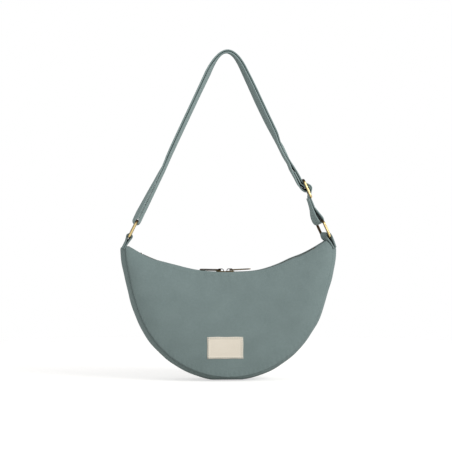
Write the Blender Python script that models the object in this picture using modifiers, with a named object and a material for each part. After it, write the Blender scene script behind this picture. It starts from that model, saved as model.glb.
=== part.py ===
"""A half-moon belt bag of cotton canvas, hanging by its webbing strap.

Lengths are in metres and +Z is up. The front of the bag faces -Y. The origin is the point under the top of
the strap where a hook or a hand holds it. Below that, everything is placed in the bag's own frame, whose
zero is the middle of the base, so heights there are measured up from the base.
"""

import math

import bmesh
import bpy
import numpy as np
from mathutils import Matrix, Vector

# Outline of the bag, seen from the front: the corners flare out past the circle of the base, and the zip's
# arc is tilted about its middle, so that its right end hangs higher than its left
BAG_WIDTH = 0.2996
SIDE_FLARE = 0.0128
BASE_PRESS = 0.0018
SHOULDER_RADIUS = 0.120
ZIP_EDGE_RADIUS = 0.257
ZIP_EDGE_HEIGHT = 0.1496
ZIP_TILT = math.radians(1.6)
CORNER_RUN = 0.0128
CORNER_DROP = 0.005

# Depth of the bag and thickness of its cloth
BASE_DEPTH = 0.060
CORNER_DEPTH = 0.026
MOUTH_DEPTH = 0.024
PANEL_CROWN = 0.0085
CROWN_FULLNESS = 0.8
SEAM_INSET = 0.007
CANVAS = 0.0015
LINING = 0.0008
LINING_STANDOFF = 0.0006
CLEARANCE = 0.0003

# Zip: the chain lies a little below the panels' top edges and stops short of the corners
CHAIN_SINK = 0.0015
CHAIN_END_GAP = 0.0217
TOOTH_PITCH = 0.004
TOOTH_TIP = 0.0009
TOOTH_ROOT = 0.0017
TOOTH_BACK = 0.0029
TOOTH_HEIGHT = 0.0024
TAPE_THICKNESS = 0.0008
STOP_LENGTH = 0.003
STOP_HEIGHT = 0.0034

# Sliders and pulls
SLIDERS_MEET_X = -0.0043
SLIDER_LENGTH = 0.0126
SLIDER_WIDTH = 0.0092
SLIDER_PLATE = 0.0011
SLIDER_POST = 0.0012
BRIDGE_LENGTH = 0.0092
BRIDGE_GAP = 0.0024
BRIDGE_THICKNESS = 0.0010
BRIDGE_WIDTH = 0.0018
PULL_LENGTH = 0.030
PULL_WIDTH = 0.0052
PULL_THICKNESS = 0.0014
PULL_BAR = 0.0014
PULL_SLOT_LENGTH = 0.0066
PULL_SLOT_WIDTH = 0.0026
PULL_LIFT = math.radians(0.8)

# Label on the front panel
LABEL_WIDTH = 0.0493
LABEL_HEIGHT = 0.0298
LABEL_THICKNESS = 0.0007
LABEL_X = -0.0043
LABEL_Z = 0.0447

# Rings and the canvas tabs that hold them
LEG_ANGLE = math.radians(26.5)
RING_WIRE = 0.0037
RING_INNER_WIDTH = 0.027
RING_RAIL_SPACING = 0.0244
RING_CORNER = 0.0036
TAB_WIDTH = 0.025
TAB_THICKNESS = 0.0018
TAB_RISE = 0.013
TAB_CLOSES_AT = 0.0065

# Strap: LOOP_CLOSES_AT and SEWN_TAIL_END are measured up a leg from the ring's upper rail, and LOOP_LEAD
# is the straight webbing below the bend at the top that belongs to the loop
STRAP_WIDTH = 0.025
STRAP_THICKNESS = 0.0024
STRAP_PLY_GAP = 0.0004
APEX_RADIUS = 0.015
LOOP_CLEARANCE = 0.0008
LOOP_CLOSES_AT = 0.022
SEWN_TAIL_END = 0.035
LOOP_LEAD = 0.0219

# Adjuster, and how far the strap's folds reach from its bars
ADJUSTER_HEIGHT = 0.0508
ADJUSTER_BAR_SPACING = 0.0128
ADJUSTER_WIRE = 0.0028
ADJUSTER_INNER_WIDTH = 0.027
ADJUSTER_CORNER = 0.0032
BIGHT_ABOVE = 0.006
BIGHT_BELOW = 0.0035
LEAD_ABOVE = 0.0075
TAIL_ABOVE = 0.010
TAIL_LENGTH = 0.031
SPREAD_LENGTH = 0.018

TURN_STEPS = 12

COLOURS = {
    "canvas": ((0.185, 0.242, 0.238), 0.92, 0.0),
    "lining cotton": ((0.150, 0.190, 0.186), 0.95, 0.0),
    "zipper tape": ((0.120, 0.160, 0.158), 0.90, 0.0),
    "zip brass": ((0.330, 0.240, 0.110), 0.42, 1.0),
    "slider bronze": ((0.160, 0.120, 0.070), 0.40, 1.0),
    "label cotton": ((0.700, 0.640, 0.540), 0.85, 0.0),
    "strap webbing": ((0.190, 0.245, 0.240), 0.90, 0.0),
    "ring brass": ((0.560, 0.420, 0.200), 0.30, 1.0),
}


# Scene helpers


def clear_scene():
    for thing in list(bpy.data.objects):
        bpy.data.objects.remove(thing, do_unlink=True)


def make_materials():
    made = {}
    for name, (colour, roughness, metallic) in COLOURS.items():
        material = bpy.data.materials.new(name)
        material.use_nodes = True
        shader = material.node_tree.nodes["Principled BSDF"]
        shader.inputs["Base Color"].default_value = (*colour, 1.0)
        shader.inputs["Roughness"].default_value = roughness
        shader.inputs["Metallic"].default_value = metallic
        made[name] = material
    return made


def new_collection(name):
    collection = bpy.data.collections.new(name)
    bpy.context.scene.collection.children.link(collection)
    return collection


def add_empty(name, parent, at, tilt=0.0):
    """An empty at a place in its parent's frame, turned about Y by tilt."""
    empty = bpy.data.objects.new(name, None)
    empty.empty_display_size = 0.01
    PARTS.objects.link(empty)
    empty.parent = parent
    empty.location = at
    empty.rotation_euler = (0.0, tilt, 0.0)
    return empty


def add_part(name, mesh, material, parent, at=(0.0, 0.0, 0.0), tilt=0.0):
    """A named part at a place in its parent's frame, turned about Y by tilt."""
    part = bpy.data.objects.new(name, mesh)
    PARTS.objects.link(part)
    part.parent = parent
    part.location = at
    part.rotation_euler = (0.0, tilt, 0.0)
    mesh.materials.clear()
    mesh.materials.append(MATERIALS[material])
    return part


def join_shape(part, mesh, at=(0.0, 0.0, 0.0)):
    """Unite another shape, given in the part's own frame, with the part."""
    helper = bpy.data.objects.new(f"{part.name} {mesh.name}", mesh)
    CUTTERS.objects.link(helper)
    helper.parent = part
    helper.location = at
    helper.hide_render = True
    helper.display_type = "WIRE"
    union = part.modifiers.new(mesh.name, "BOOLEAN")
    union.operation = "UNION"
    union.solver = "EXACT"
    union.object = helper


def thicken(part, thickness, offset):
    """Give a sheet its thickness: offset -1 puts it all behind the surface, 1 in front, 0 half and half."""
    shell = part.modifiers.new("thickness", "SOLIDIFY")
    shell.thickness = thickness
    shell.offset = offset
    shell.use_even_offset = True


# Mesh helpers


def mesh_from(bm, name):
    mesh = bpy.data.meshes.new(name)
    bm.to_mesh(mesh)
    bm.free()
    return mesh


def shade_round(mesh):
    mesh.shade_smooth()
    mesh.set_sharp_from_angle(angle=math.radians(40))


def box_mesh(name, size):
    bm = bmesh.new()
    bmesh.ops.create_cube(bm, size=1.0, matrix=Matrix.Diagonal((*size, 1.0)))
    return mesh_from(bm, name)


def grid_mesh(name, u_steps, v_steps, shape, turn_over=False):
    """An open sheet: a grid whose points are moved to shape(u, v), with u and v from 0 to 1."""
    bm = bmesh.new()
    bmesh.ops.create_grid(bm, x_segments=u_steps, y_segments=v_steps, size=0.5)
    for vert in bm.verts:
        vert.co = shape(vert.co.x + 0.5, vert.co.y + 0.5)
    if turn_over:
        bmesh.ops.reverse_faces(bm, faces=bm.faces)
    mesh = mesh_from(bm, name)
    shade_round(mesh)
    return mesh


def band_mesh(name, path, width):
    """A strip of even width in Y, carried along a path of (x, z) points."""
    last = len(path) - 1

    def strip(u, v):
        x, z = path[round(u * last)]
        return Vector((x, (v - 0.5) * width, z))

    return grid_mesh(name, last, 1, strip)


def mesh_of_curve(curve):
    """Turn a curve into a closed mesh of the same name, and remove the curve."""
    name = curve.name
    guide = bpy.data.objects.new(name, curve)
    CUTTERS.objects.link(guide)
    bpy.context.view_layer.update()
    graph = bpy.context.evaluated_depsgraph_get()
    mesh = bpy.data.meshes.new_from_object(guide.evaluated_get(graph))
    bpy.data.objects.remove(guide, do_unlink=True)
    bpy.data.curves.remove(curve)
    bm = bmesh.new()
    bm.from_mesh(mesh)
    bmesh.ops.remove_doubles(bm, verts=bm.verts, dist=1e-6)
    bmesh.ops.recalc_face_normals(bm, faces=bm.faces)
    bm.to_mesh(mesh)
    bm.free()
    mesh.name = name
    return mesh


def add_line(curve, points, closed):
    line = curve.splines.new("POLY")
    line.points.add(len(points) - 1)
    for point, place in zip(line.points, points):
        point.co = (*place, 1.0)
    line.use_cyclic_u = closed


def wire_mesh(name, points, wire, closed):
    """A round wire through (y, z) points in the plane x = 0."""
    curve = bpy.data.curves.new(name, "CURVE")
    curve.dimensions = "3D"
    curve.bevel_depth = wire / 2
    curve.bevel_resolution = 2
    curve.use_fill_caps = True
    add_line(curve, [(0.0, y, z) for y, z in points], closed)
    mesh = mesh_of_curve(curve)
    shade_round(mesh)
    return mesh


def plate_mesh(name, loops, thickness):
    """A flat plate bounded by closed loops of (x, y) points, centred on z = 0."""
    curve = bpy.data.curves.new(name, "CURVE")
    curve.dimensions = "2D"
    curve.fill_mode = "BOTH"
    curve.extrude = thickness / 2
    for loop in loops:
        add_line(curve, [(x, y, 0.0) for x, y in loop], True)
    return mesh_of_curve(curve)


# Plane geometry


def arc(centre, radius, start, end, steps):
    """Points on a circle from one angle to another, in radians."""
    angles = np.linspace(start, end, steps + 1)
    return [(centre[0] + radius * math.cos(a), centre[1] + radius * math.sin(a)) for a in angles]


def rounded_rectangle(half_width, half_height, corner, steps=4):
    """A closed outline with round corners, counter-clockwise from its right side."""
    points = []
    for quarter, (right, up) in enumerate([(1, 1), (-1, 1), (-1, -1), (1, -1)]):
        centre = (right * (half_width - corner), up * (half_height - corner))
        start = quarter * math.pi / 2
        points += arc(centre, corner, start, start + math.pi / 2, steps)
    return points


def touch_angle(point, centre, radius, side):
    """The angle, seen from a circle's centre, where a line from an outside point touches the circle."""
    towards = math.atan2(point[1] - centre[1], point[0] - centre[0])
    distance = math.hypot(point[0] - centre[0], point[1] - centre[1])
    return towards + side * math.acos(radius / distance)


def loop_round_rail(radius, offset, closes_at):
    """Both strands and the turn round a rail at (0, 0), from the strand at -offset to the one at offset."""
    start = touch_angle((-offset, closes_at), (0.0, 0.0), radius, 1)
    end = touch_angle((offset, closes_at), (0.0, 0.0), radius, -1) + 2 * math.pi
    return [(-offset, closes_at)] + arc((0.0, 0.0), radius, start, end, TURN_STEPS) + [(offset, closes_at)]


# Outline of the bag

BASE_RADIUS = BAG_WIDTH / 2 - SIDE_FLARE
ZIP_CENTRE_X = -ZIP_EDGE_RADIUS * math.sin(ZIP_TILT)
ZIP_CENTRE_Z = ZIP_EDGE_HEIGHT + ZIP_EDGE_RADIUS * math.cos(ZIP_TILT)
CHAIN_RADIUS = ZIP_EDGE_RADIUS + CHAIN_SINK
EDGE_HALF_ANGLE = math.asin((BAG_WIDTH / 2 - CORNER_RUN) / ZIP_EDGE_RADIUS)
CHAIN_HALF_ANGLE = EDGE_HALF_ANGLE - CHAIN_END_GAP / CHAIN_RADIUS
LEVEL_TOP = ZIP_EDGE_HEIGHT + ZIP_EDGE_RADIUS * (1 - math.cos(EDGE_HALF_ANGLE))
CORNER_HEIGHT = LEVEL_TOP - CORNER_DROP


def half_outline():
    """Silhouette from the middle of the base to the right corner: lengths along it, x, z and turns.

    It is the base circle, a straight side that touches it, and the shoulder circle that the side runs
    into. The shoulder's centre is level with the corner, so the outline ends upright there. A turn is the
    outward normal's angle.
    """
    base_z = BASE_RADIUS - BASE_PRESS
    shoulder_x = BAG_WIDTH / 2 - SHOULDER_RADIUS
    apart = math.hypot(shoulder_x, CORNER_HEIGHT - base_z)
    side_lean = math.acos((BASE_RADIUS - SHOULDER_RADIUS) / apart)
    side_lean -= math.atan2(CORNER_HEIGHT - base_z, shoulder_x)
    base = np.linspace(-math.pi / 2, -side_lean, 60)
    shoulder = np.linspace(-side_lean, 0.0, 20)
    x = np.append(BASE_RADIUS * np.cos(base), shoulder_x + SHOULDER_RADIUS * np.cos(shoulder))
    z = np.append(base_z + BASE_RADIUS * np.sin(base), CORNER_HEIGHT + SHOULDER_RADIUS * np.sin(shoulder))
    length = np.append(0.0, np.cumsum(np.hypot(np.diff(x), np.diff(z))))
    return length, x, z, np.append(base, shoulder)


OUTLINE = half_outline()
HALF_LENGTH = float(OUTLINE[0][-1])


def outline_at(u, inset):
    """Point (x, z) of the silhouette, drawn in by inset: u is 0 at the left corner and 1 at the right."""
    lengths, xs, zs, turns = OUTLINE
    along = abs(2 * u - 1) * HALF_LENGTH
    turn = float(np.interp(along, lengths, turns))
    x = float(np.interp(along, lengths, xs)) - inset * math.cos(turn)
    z = float(np.interp(along, lengths, zs)) - inset * math.sin(turn)
    return math.copysign(x, 2 * u - 1), z


def on_zip_arc(angle, radius):
    """Point (x, z) at an angle along the tilted arc: the angle is 0 at its middle."""
    turned = angle + ZIP_TILT
    return ZIP_CENTRE_X + radius * math.sin(turned), ZIP_CENTRE_Z - radius * math.cos(turned)


def zip_edge_at(u, lowered):
    """Point (x, z) of the concave top edge: u is 0 at the left corner and 1 at the right."""
    return on_zip_arc((2 * u - 1) * EDGE_HALF_ANGLE, ZIP_EDGE_RADIUS + lowered)


def end_slope(side):
    """How steeply the top falls from the end of the zip edge to the left (-1) or right (1) corner."""
    x, z = on_zip_arc(side * EDGE_HALF_ANGLE, ZIP_EDGE_RADIUS)
    return math.atan2(z - CORNER_HEIGHT, BAG_WIDTH / 2 - abs(x))


def trimmed(u, end):
    """The same place along the outline, with the outline cut short by a length at each corner."""
    return 0.5 + (u - 0.5) * (1 - end / HALF_LENGTH)


def half_depth_at(u):
    """Half the gusset's width: widest along the base, and tapering towards the corners."""
    height = max(outline_at(u, 0.0)[1], 0.0) / CORNER_HEIGHT
    return (CORNER_DEPTH + (BASE_DEPTH - CORNER_DEPTH) * (1 - height**2)) / 2


# Canvas pieces and their linings


def panel_point(u, v, side, inset, inward, lowered):
    """A point of a panel: straight ribs from the base seam (v = 0) to the zip edge (v = 1), crowned outwards.

    side is -1 for the front and 1 for the back, inward moves the sheet towards the middle of the bag, and
    lowered drops its top edge.
    """
    top_x, top_z = zip_edge_at(u, lowered)
    base_x, base_z = outline_at(u, inset)
    depth = half_depth_at(u) * (1 - v) + MOUTH_DEPTH / 2 * v
    rise = max(math.sin(math.pi * v), 0.0) ** CROWN_FULLNESS
    crown = PANEL_CROWN * rise * (1 - (2 * u - 1) ** 4)
    x = base_x + (top_x - base_x) * v
    z = base_z + (top_z - base_z) * v
    return Vector((x, side * (depth + crown - inward), z))


def add_panel(name, side):
    def shape(u, v):
        return panel_point(u, v, side, SEAM_INSET, 0.0, 0.0)

    panel = add_part(name, grid_mesh(name, 32, 8, shape, turn_over=side > 0), "canvas", BAG)
    thicken(panel, CANVAS, -1)
    return panel


def add_panel_lining(name, side):
    inward = CANVAS + LINING_STANDOFF

    def shape(u, v):
        return panel_point(trimmed(u, 2 * CANVAS), v, side, SEAM_INSET + inward, inward, 2 * CANVAS)

    lining = add_part(name, grid_mesh(name, 24, 6, shape, turn_over=side > 0), "lining cotton", BAG)
    thicken(lining, LINING, -1)


def gusset_point(u, v, inward, narrowed):
    """A point of the band round the sides and base.

    It bulges past its seams by SEAM_INSET, the floor presses its base flat, and it stops under the covers
    at the ends of the zip.
    """
    across = 2 * v - 1
    u = trimmed(u, CANVAS + CLEARANCE)
    x, z = outline_at(u, SEAM_INSET * across**2 + inward)
    return Vector((x, across * (half_depth_at(u) - narrowed), max(z, inward)))


def add_gusset(name):
    def shape(u, v):
        return gusset_point(u, v, 0.0, CANVAS + CLEARANCE)

    gusset = add_part(name, grid_mesh(name, 48, 8, shape, turn_over=True), "canvas", BAG)
    thicken(gusset, CANVAS, -1)


def add_gusset_lining(name):
    inward = CANVAS + LINING_STANDOFF

    def shape(u, v):
        return gusset_point(u, v, inward, 2 * (inward + LINING))

    lining = add_part(name, grid_mesh(name, 36, 4, shape, turn_over=True), "lining cotton", BAG)
    thicken(lining, LINING, -1)


def add_zip_end_cover(name, side):
    """Canvas over the end of the zip: it follows the top edge to the corner, then the short sloping end.

    Its outer face lies on both, so where they meet the middle of the cloth is further below.
    """
    sunk = CANVAS / 2
    start = CHAIN_HALF_ANGLE + (STOP_LENGTH + 3 * CLEARANCE) / CHAIN_RADIUS
    path = [on_zip_arc(side * angle, ZIP_EDGE_RADIUS + sunk) for angle in np.linspace(start, EDGE_HALF_ANGLE, 5)]
    climb = EDGE_HALF_ANGLE + side * ZIP_TILT
    slope = end_slope(side)
    mitre = sunk / math.cos((climb + slope) / 2)
    lean = (climb - slope) / 2
    x, z = on_zip_arc(side * EDGE_HALF_ANGLE, ZIP_EDGE_RADIUS)
    path[-1] = (x + side * mitre * math.sin(lean), z - mitre * math.cos(lean))
    path.append((side * (BAG_WIDTH / 2 - sunk * math.sin(slope)), CORNER_HEIGHT - sunk * math.cos(slope)))
    width = MOUTH_DEPTH - 2 * (CANVAS + CLEARANCE)
    cover = add_part(name, band_mesh(name, path, width), "canvas", BAG)
    thicken(cover, CANVAS, 0)


def add_label(name, panel):
    """A flat patch laid on the front panel by projecting it straight back."""

    def flat(u, v):
        return Vector(((u - 0.5) * LABEL_WIDTH, 0.0, (v - 0.5) * LABEL_HEIGHT))

    place = (LABEL_X, -BASE_DEPTH, LABEL_Z)
    label = add_part(name, grid_mesh(name, 8, 5, flat), "label cotton", BAG, place)
    laid = label.modifiers.new("laid on the panel", "SHRINKWRAP")
    laid.target = panel
    laid.wrap_method = "PROJECT"
    laid.wrap_mode = "ABOVE_SURFACE"
    laid.use_project_y = True
    laid.offset = CLEARANCE
    thicken(label, LABEL_THICKNESS, 1)


# Zip


def add_tape(name, side):
    inner = TOOTH_BACK + CLEARANCE
    outer = MOUTH_DEPTH / 2 - CANVAS - CLEARANCE

    def shape(u, v):
        x, z = on_zip_arc((2 * u - 1) * CHAIN_HALF_ANGLE, CHAIN_RADIUS)
        return Vector((x, side * (inner + (outer - inner) * v), z))

    tape = add_part(name, grid_mesh(name, 32, 1, shape, turn_over=side < 0), "zipper tape", BAG)
    thicken(tape, TAPE_THICKNESS, 0)


def add_teeth(name, side):
    """One row of teeth: a strip with a tooth drawn out of every second cell, bent round the chain's arc.

    The two rows draw out opposite cells, so their teeth alternate.
    """
    teeth_count = int(2 * CHAIN_HALF_ANGLE * CHAIN_RADIUS / TOOTH_PITCH)
    bm = bmesh.new()
    bmesh.ops.create_grid(bm, x_segments=2 * teeth_count, y_segments=1, size=0.5)
    inner = [edge for edge in bm.edges if all(vert.co.y > 0 for vert in edge.verts)]
    inner.sort(key=lambda edge: edge.verts[0].co.x + edge.verts[1].co.x)
    first = 0 if side < 0 else 1
    grown = bmesh.ops.extrude_edge_only(bm, edges=inner[first::2])
    tips = {item for item in grown["geom"] if isinstance(item, bmesh.types.BMVert)}
    for vert in bm.verts:
        x, z = on_zip_arc(2 * vert.co.x * CHAIN_HALF_ANGLE, CHAIN_RADIUS)
        if vert in tips:
            across = TOOTH_TIP
        elif vert.co.y > 0:
            across = TOOTH_ROOT
        else:
            across = TOOTH_BACK
        vert.co = (x, side * across, z)
    bmesh.ops.recalc_face_normals(bm, faces=bm.faces)
    teeth = add_part(name, mesh_from(bm, name), "zip brass", BAG)
    thicken(teeth, TOOTH_HEIGHT, 0)


def add_zip_stop(name, side):
    angle = side * (CHAIN_HALF_ANGLE + (STOP_LENGTH / 2 + CLEARANCE) / CHAIN_RADIUS)
    x, z = on_zip_arc(angle, CHAIN_RADIUS)
    mesh = box_mesh(name, (STOP_LENGTH, 2 * TOOTH_BACK, STOP_HEIGHT))
    stop = add_part(name, mesh, "zip brass", BAG, (x, 0.0, z), -angle - ZIP_TILT)
    edge = stop.modifiers.new("rounded edges", "BEVEL")
    edge.width = STOP_HEIGHT / 6
    edge.segments = 1


# Sliders: both are drawn with the chain's middle plane at z = 0 and the chain running along x

JAW_INNER = TOOTH_HEIGHT / 2 + CLEARANCE
JAW_OUTER = JAW_INNER + SLIDER_PLATE
PIVOT_HEIGHT = JAW_OUTER + BRIDGE_GAP / 2


def jaw_mesh(name, up):
    """One jaw: a plate with a flange down each side, as a section in y and z drawn out along the chain."""
    lip = TAPE_THICKNESS / 2 + CLEARANCE
    flange = TOOTH_BACK + CLEARANCE
    half = SLIDER_WIDTH / 2
    section = [(-half, lip), (-half, JAW_OUTER), (half, JAW_OUTER), (half, lip)]
    section += [(flange, lip), (flange, JAW_INNER), (-flange, JAW_INNER), (-flange, lip)]
    mesh = plate_mesh(name, [[(y, up * z) for y, z in section]], SLIDER_LENGTH)
    mesh.transform(Matrix(((0, 0, 1, 0), (1, 0, 0, 0), (0, 1, 0, 0), (0, 0, 0, 1))))
    return mesh


def bridge_mesh(name):
    """The arch on top of the slider that holds the pull's bar, as an outline in x and z."""
    foot = JAW_OUTER - SLIDER_PLATE / 2
    inner_top = JAW_OUTER + BRIDGE_GAP
    outer_top = inner_top + BRIDGE_THICKNESS
    outer_end = BRIDGE_LENGTH / 2
    inner_end = outer_end - BRIDGE_THICKNESS
    outer_bend = 1.2 * BRIDGE_THICKNESS
    inner_bend = outer_bend / 2
    quarter = math.pi / 2
    outline = [(outer_end, foot)]
    outline += arc((outer_end - outer_bend, outer_top - outer_bend), outer_bend, 0.0, quarter, 4)
    outline += arc((outer_bend - outer_end, outer_top - outer_bend), outer_bend, quarter, 2 * quarter, 4)
    outline += [(-outer_end, foot), (-inner_end, foot)]
    outline += arc((inner_bend - inner_end, inner_top - inner_bend), inner_bend, 2 * quarter, quarter, 3)
    outline += arc((inner_end - inner_bend, inner_top - inner_bend), inner_bend, quarter, 0.0, 3)
    outline += [(inner_end, foot)]
    mesh = plate_mesh(name, [outline], BRIDGE_WIDTH)
    mesh.transform(Matrix.Rotation(math.pi / 2, 4, "X"))
    return mesh


def add_slider(name, side):
    """A slider on an empty at the centre of the zip's arc, which is what it turns about."""
    half_angle = (SLIDER_LENGTH + CLEARANCE) / 2 / CHAIN_RADIUS
    turned = math.asin((SLIDERS_MEET_X - ZIP_CENTRE_X) / CHAIN_RADIUS) + side * half_angle
    arc_centre = add_empty(f"{name} arc centre", BAG, (ZIP_CENTRE_X, 0.0, ZIP_CENTRE_Z), -turned)
    slider = add_part(name, jaw_mesh(name, 1), "slider bronze", arc_centre, (0.0, 0.0, -CHAIN_RADIUS))
    join_shape(slider, jaw_mesh("lower jaw", -1))
    post_length = 2 * SLIDER_PLATE
    post_height = 2 * JAW_INNER + SLIDER_PLATE
    post_x = -side * (SLIDER_LENGTH / 2 - post_length / 2 - CLEARANCE)
    join_shape(slider, box_mesh("post", (post_length, SLIDER_POST, post_height)), (post_x, 0.0, 0.0))
    join_shape(slider, bridge_mesh("bridge"))
    return arc_centre


def add_pull(name, side, arc_centre):
    """A flat pull with a slot for the bridge. Its origin is the bar that turns under the bridge."""
    half = PULL_WIDTH / 2
    corner = PULL_WIDTH / 3
    plate = [(-PULL_BAR / 2, -half)]
    plate += arc((PULL_LENGTH - corner, corner - half), corner, -math.pi / 2, 0.0, 4)
    plate += arc((PULL_LENGTH - corner, half - corner), corner, 0.0, math.pi / 2, 4)
    plate += [(-PULL_BAR / 2, half)]
    slot_start = PULL_BAR / 2
    slot_end = slot_start + PULL_SLOT_LENGTH
    slot_half = PULL_SLOT_WIDTH / 2
    slot = [(slot_start, -slot_half), (slot_end, -slot_half), (slot_end, slot_half), (slot_start, slot_half)]
    loops = [[(side * x, y) for x, y in loop] for loop in (plate, slot)]
    mesh = plate_mesh(name, loops, PULL_THICKNESS)
    place = (0.0, 0.0, PIVOT_HEIGHT - CHAIN_RADIUS)
    add_part(name, mesh, "slider bronze", arc_centre, place, -side * PULL_LIFT)


# Rings and tabs. A leg of the strap has a frame of its own: n points away from the middle of the bag, and t
# runs up the leg from the axis of the ring's upper rail

LOWER_RAIL_X = BAG_WIDTH / 2 - CORNER_RUN / 2 - TAB_RISE * math.sin(LEG_ANGLE)
LOWER_RAIL_Z = LEVEL_TOP - CORNER_DROP / 2 + TAB_RISE * math.cos(LEG_ANGLE)
UPPER_RAIL_X = LOWER_RAIL_X - RING_RAIL_SPACING * math.sin(LEG_ANGLE)
UPPER_RAIL_Z = LOWER_RAIL_Z + RING_RAIL_SPACING * math.cos(LEG_ANGLE)


def from_leg(side, points):
    """Points (n, t) of the left (-1) or right (1) leg, as (x, z) in the bag's frame."""
    lean, rise = math.sin(LEG_ANGLE), math.cos(LEG_ANGLE)
    placed = []
    for n, t in points:
        placed.append((side * (UPPER_RAIL_X + n * rise - t * lean), UPPER_RAIL_Z + n * lean + t * rise))
    return placed


def add_ring(name, side):
    """A rectangular ring of round wire, with its origin on the axis of its upper rail."""
    half_width = (RING_INNER_WIDTH + RING_WIRE) / 2
    half_height = RING_RAIL_SPACING / 2
    points = [(y, z - half_height) for y, z in rounded_rectangle(half_width, half_height, RING_CORNER)]
    mesh = wire_mesh(name, points, RING_WIRE, closed=True)
    add_part(name, mesh, "ring brass", BAG_BASE, (side * UPPER_RAIL_X, 0.0, UPPER_RAIL_Z), -side * LEG_ANGLE)


def add_tab(name, side):
    """A folded canvas tab that rises from the bag's corner and turns round the ring's lower rail.

    Its feet end just above the sloping end, each at the height of the slope under it.
    """
    offset = (TAB_THICKNESS + CLEARANCE) / 2
    radius = RING_WIRE / 2 + LOOP_CLEARANCE + TAB_THICKNESS / 2
    slope = end_slope(side)
    lean = LEG_ANGLE + slope
    above = (LOWER_RAIL_Z - CORNER_HEIGHT) * math.cos(slope) - (BAG_WIDTH / 2 - LOWER_RAIL_X) * math.sin(slope)

    def foot(n):
        return n, (above - CLEARANCE + (n - TAB_THICKNESS / 2) * math.sin(lean)) / math.cos(lean)

    path = [foot(-offset)] + loop_round_rail(radius, offset, TAB_CLOSES_AT) + [foot(offset)]
    upright = from_leg(side, [(n, -RING_RAIL_SPACING - t) for n, t in path])
    tab = add_part(name, band_mesh(name, upright, TAB_WIDTH), "canvas", BAG)
    thicken(tab, TAB_THICKNESS, 0)


# Strap

PLY_OFFSET = (STRAP_THICKNESS + STRAP_PLY_GAP) / 2
LOOP_RADIUS = RING_WIRE / 2 + LOOP_CLEARANCE + STRAP_THICKNESS / 2
LEG_LENGTH = UPPER_RAIL_X / math.sin(LEG_ANGLE) - APEX_RADIUS / math.tan(LEG_ANGLE)
RUN_TOP = LEG_LENGTH - LOOP_LEAD
APEX_CENTRE = UPPER_RAIL_Z + UPPER_RAIL_X / math.tan(LEG_ANGLE) - APEX_RADIUS / math.sin(LEG_ANGLE)
HANG_HEIGHT = APEX_CENTRE + APEX_RADIUS - PLY_OFFSET - STRAP_THICKNESS / 2
BAR_OFFSET = STRAP_PLY_GAP / 2 + STRAP_THICKNESS + CLEARANCE + ADJUSTER_WIRE / 2
FOLD_RADIUS = ADJUSTER_WIRE / 2 + CLEARANCE + STRAP_THICKNESS / 2
BIGHT_RADIUS = FOLD_RADIUS + STRAP_THICKNESS + STRAP_PLY_GAP
BIGHT_TOP = ADJUSTER_HEIGHT + ADJUSTER_BAR_SPACING + BIGHT_ABOVE
BIGHT_FOOT = ADJUSTER_HEIGHT - ADJUSTER_BAR_SPACING - BIGHT_BELOW
TAIL_TOP = ADJUSTER_HEIGHT + TAIL_LENGTH


def add_webbing(name, path, parent):
    piece = add_part(name, band_mesh(name, path, STRAP_WIDTH), "strap webbing", parent)
    thicken(piece, STRAP_THICKNESS, 0)


def strap_loop_path():
    """From the right leg over the top, down the left leg, round the left ring and back again outside."""
    top = (0.0, APEX_CENTRE)
    right, left = LEG_ANGLE, math.pi - LEG_ANGLE
    start = RUN_TOP + CLEARANCE
    path = from_leg(1, [(-PLY_OFFSET, start)])
    path += arc(top, APEX_RADIUS - PLY_OFFSET, right, left, TURN_STEPS)
    path += from_leg(-1, loop_round_rail(LOOP_RADIUS, PLY_OFFSET, LOOP_CLOSES_AT))
    path += arc(top, APEX_RADIUS + PLY_OFFSET, left, right, TURN_STEPS)
    path += from_leg(1, [(PLY_OFFSET, start)])
    return path


def ring_end_path():
    """The strap's lower end: down, round the right ring's upper rail and back up as the sewn tail."""
    turn = loop_round_rail(LOOP_RADIUS, PLY_OFFSET, LOOP_CLOSES_AT)
    return from_leg(1, [(-PLY_OFFSET, SEWN_TAIL_END)] + turn)


def sewn_fold_path():
    """The strap's upper end: down beside its own tail, round the adjuster's middle bar and up as the tail."""
    bar = (BAR_OFFSET, ADJUSTER_HEIGHT)
    spread = -PLY_OFFSET - STRAP_THICKNESS - STRAP_PLY_GAP
    lead = (spread, ADJUSTER_HEIGHT + LEAD_ABOVE)
    tail = (-PLY_OFFSET, ADJUSTER_HEIGHT + TAIL_ABOVE)
    start = touch_angle(lead, bar, FOLD_RADIUS, 1)
    end = touch_angle(tail, bar, FOLD_RADIUS, -1) + 2 * math.pi
    path = [(-PLY_OFFSET, TAIL_TOP + SPREAD_LENGTH), (spread, TAIL_TOP), lead]
    path += arc(bar, FOLD_RADIUS, start, end, TURN_STEPS)
    path += [tail, (-PLY_OFFSET, TAIL_TOP - STRAP_THICKNESS)]
    return path


def bight_path():
    """The running layer: inside the upper bar, round the outside of the fold, and inside the lower bar."""
    upper = (BAR_OFFSET, ADJUSTER_HEIGHT + ADJUSTER_BAR_SPACING)
    middle = (BAR_OFFSET, ADJUSTER_HEIGHT)
    lower = (BAR_OFFSET, ADJUSTER_HEIGHT - ADJUSTER_BAR_SPACING)
    cross = math.asin((FOLD_RADIUS + BIGHT_RADIUS) / ADJUSTER_BAR_SPACING)
    path = [(PLY_OFFSET, BIGHT_TOP)]
    path += arc(upper, FOLD_RADIUS, math.pi, math.pi + cross, 3)
    path += arc(middle, BIGHT_RADIUS, cross, -cross, 8)
    path += arc(lower, FOLD_RADIUS, math.pi - cross, math.pi, 3)
    path += [(PLY_OFFSET, BIGHT_FOOT)]
    return path


def add_run(name, n, top, foot):
    """A straight layer of the right leg, which shortens or stretches when the adjuster moves."""
    add_webbing(name, from_leg(1, [(n, top), (n, foot)]), BAG_BASE)


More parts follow.
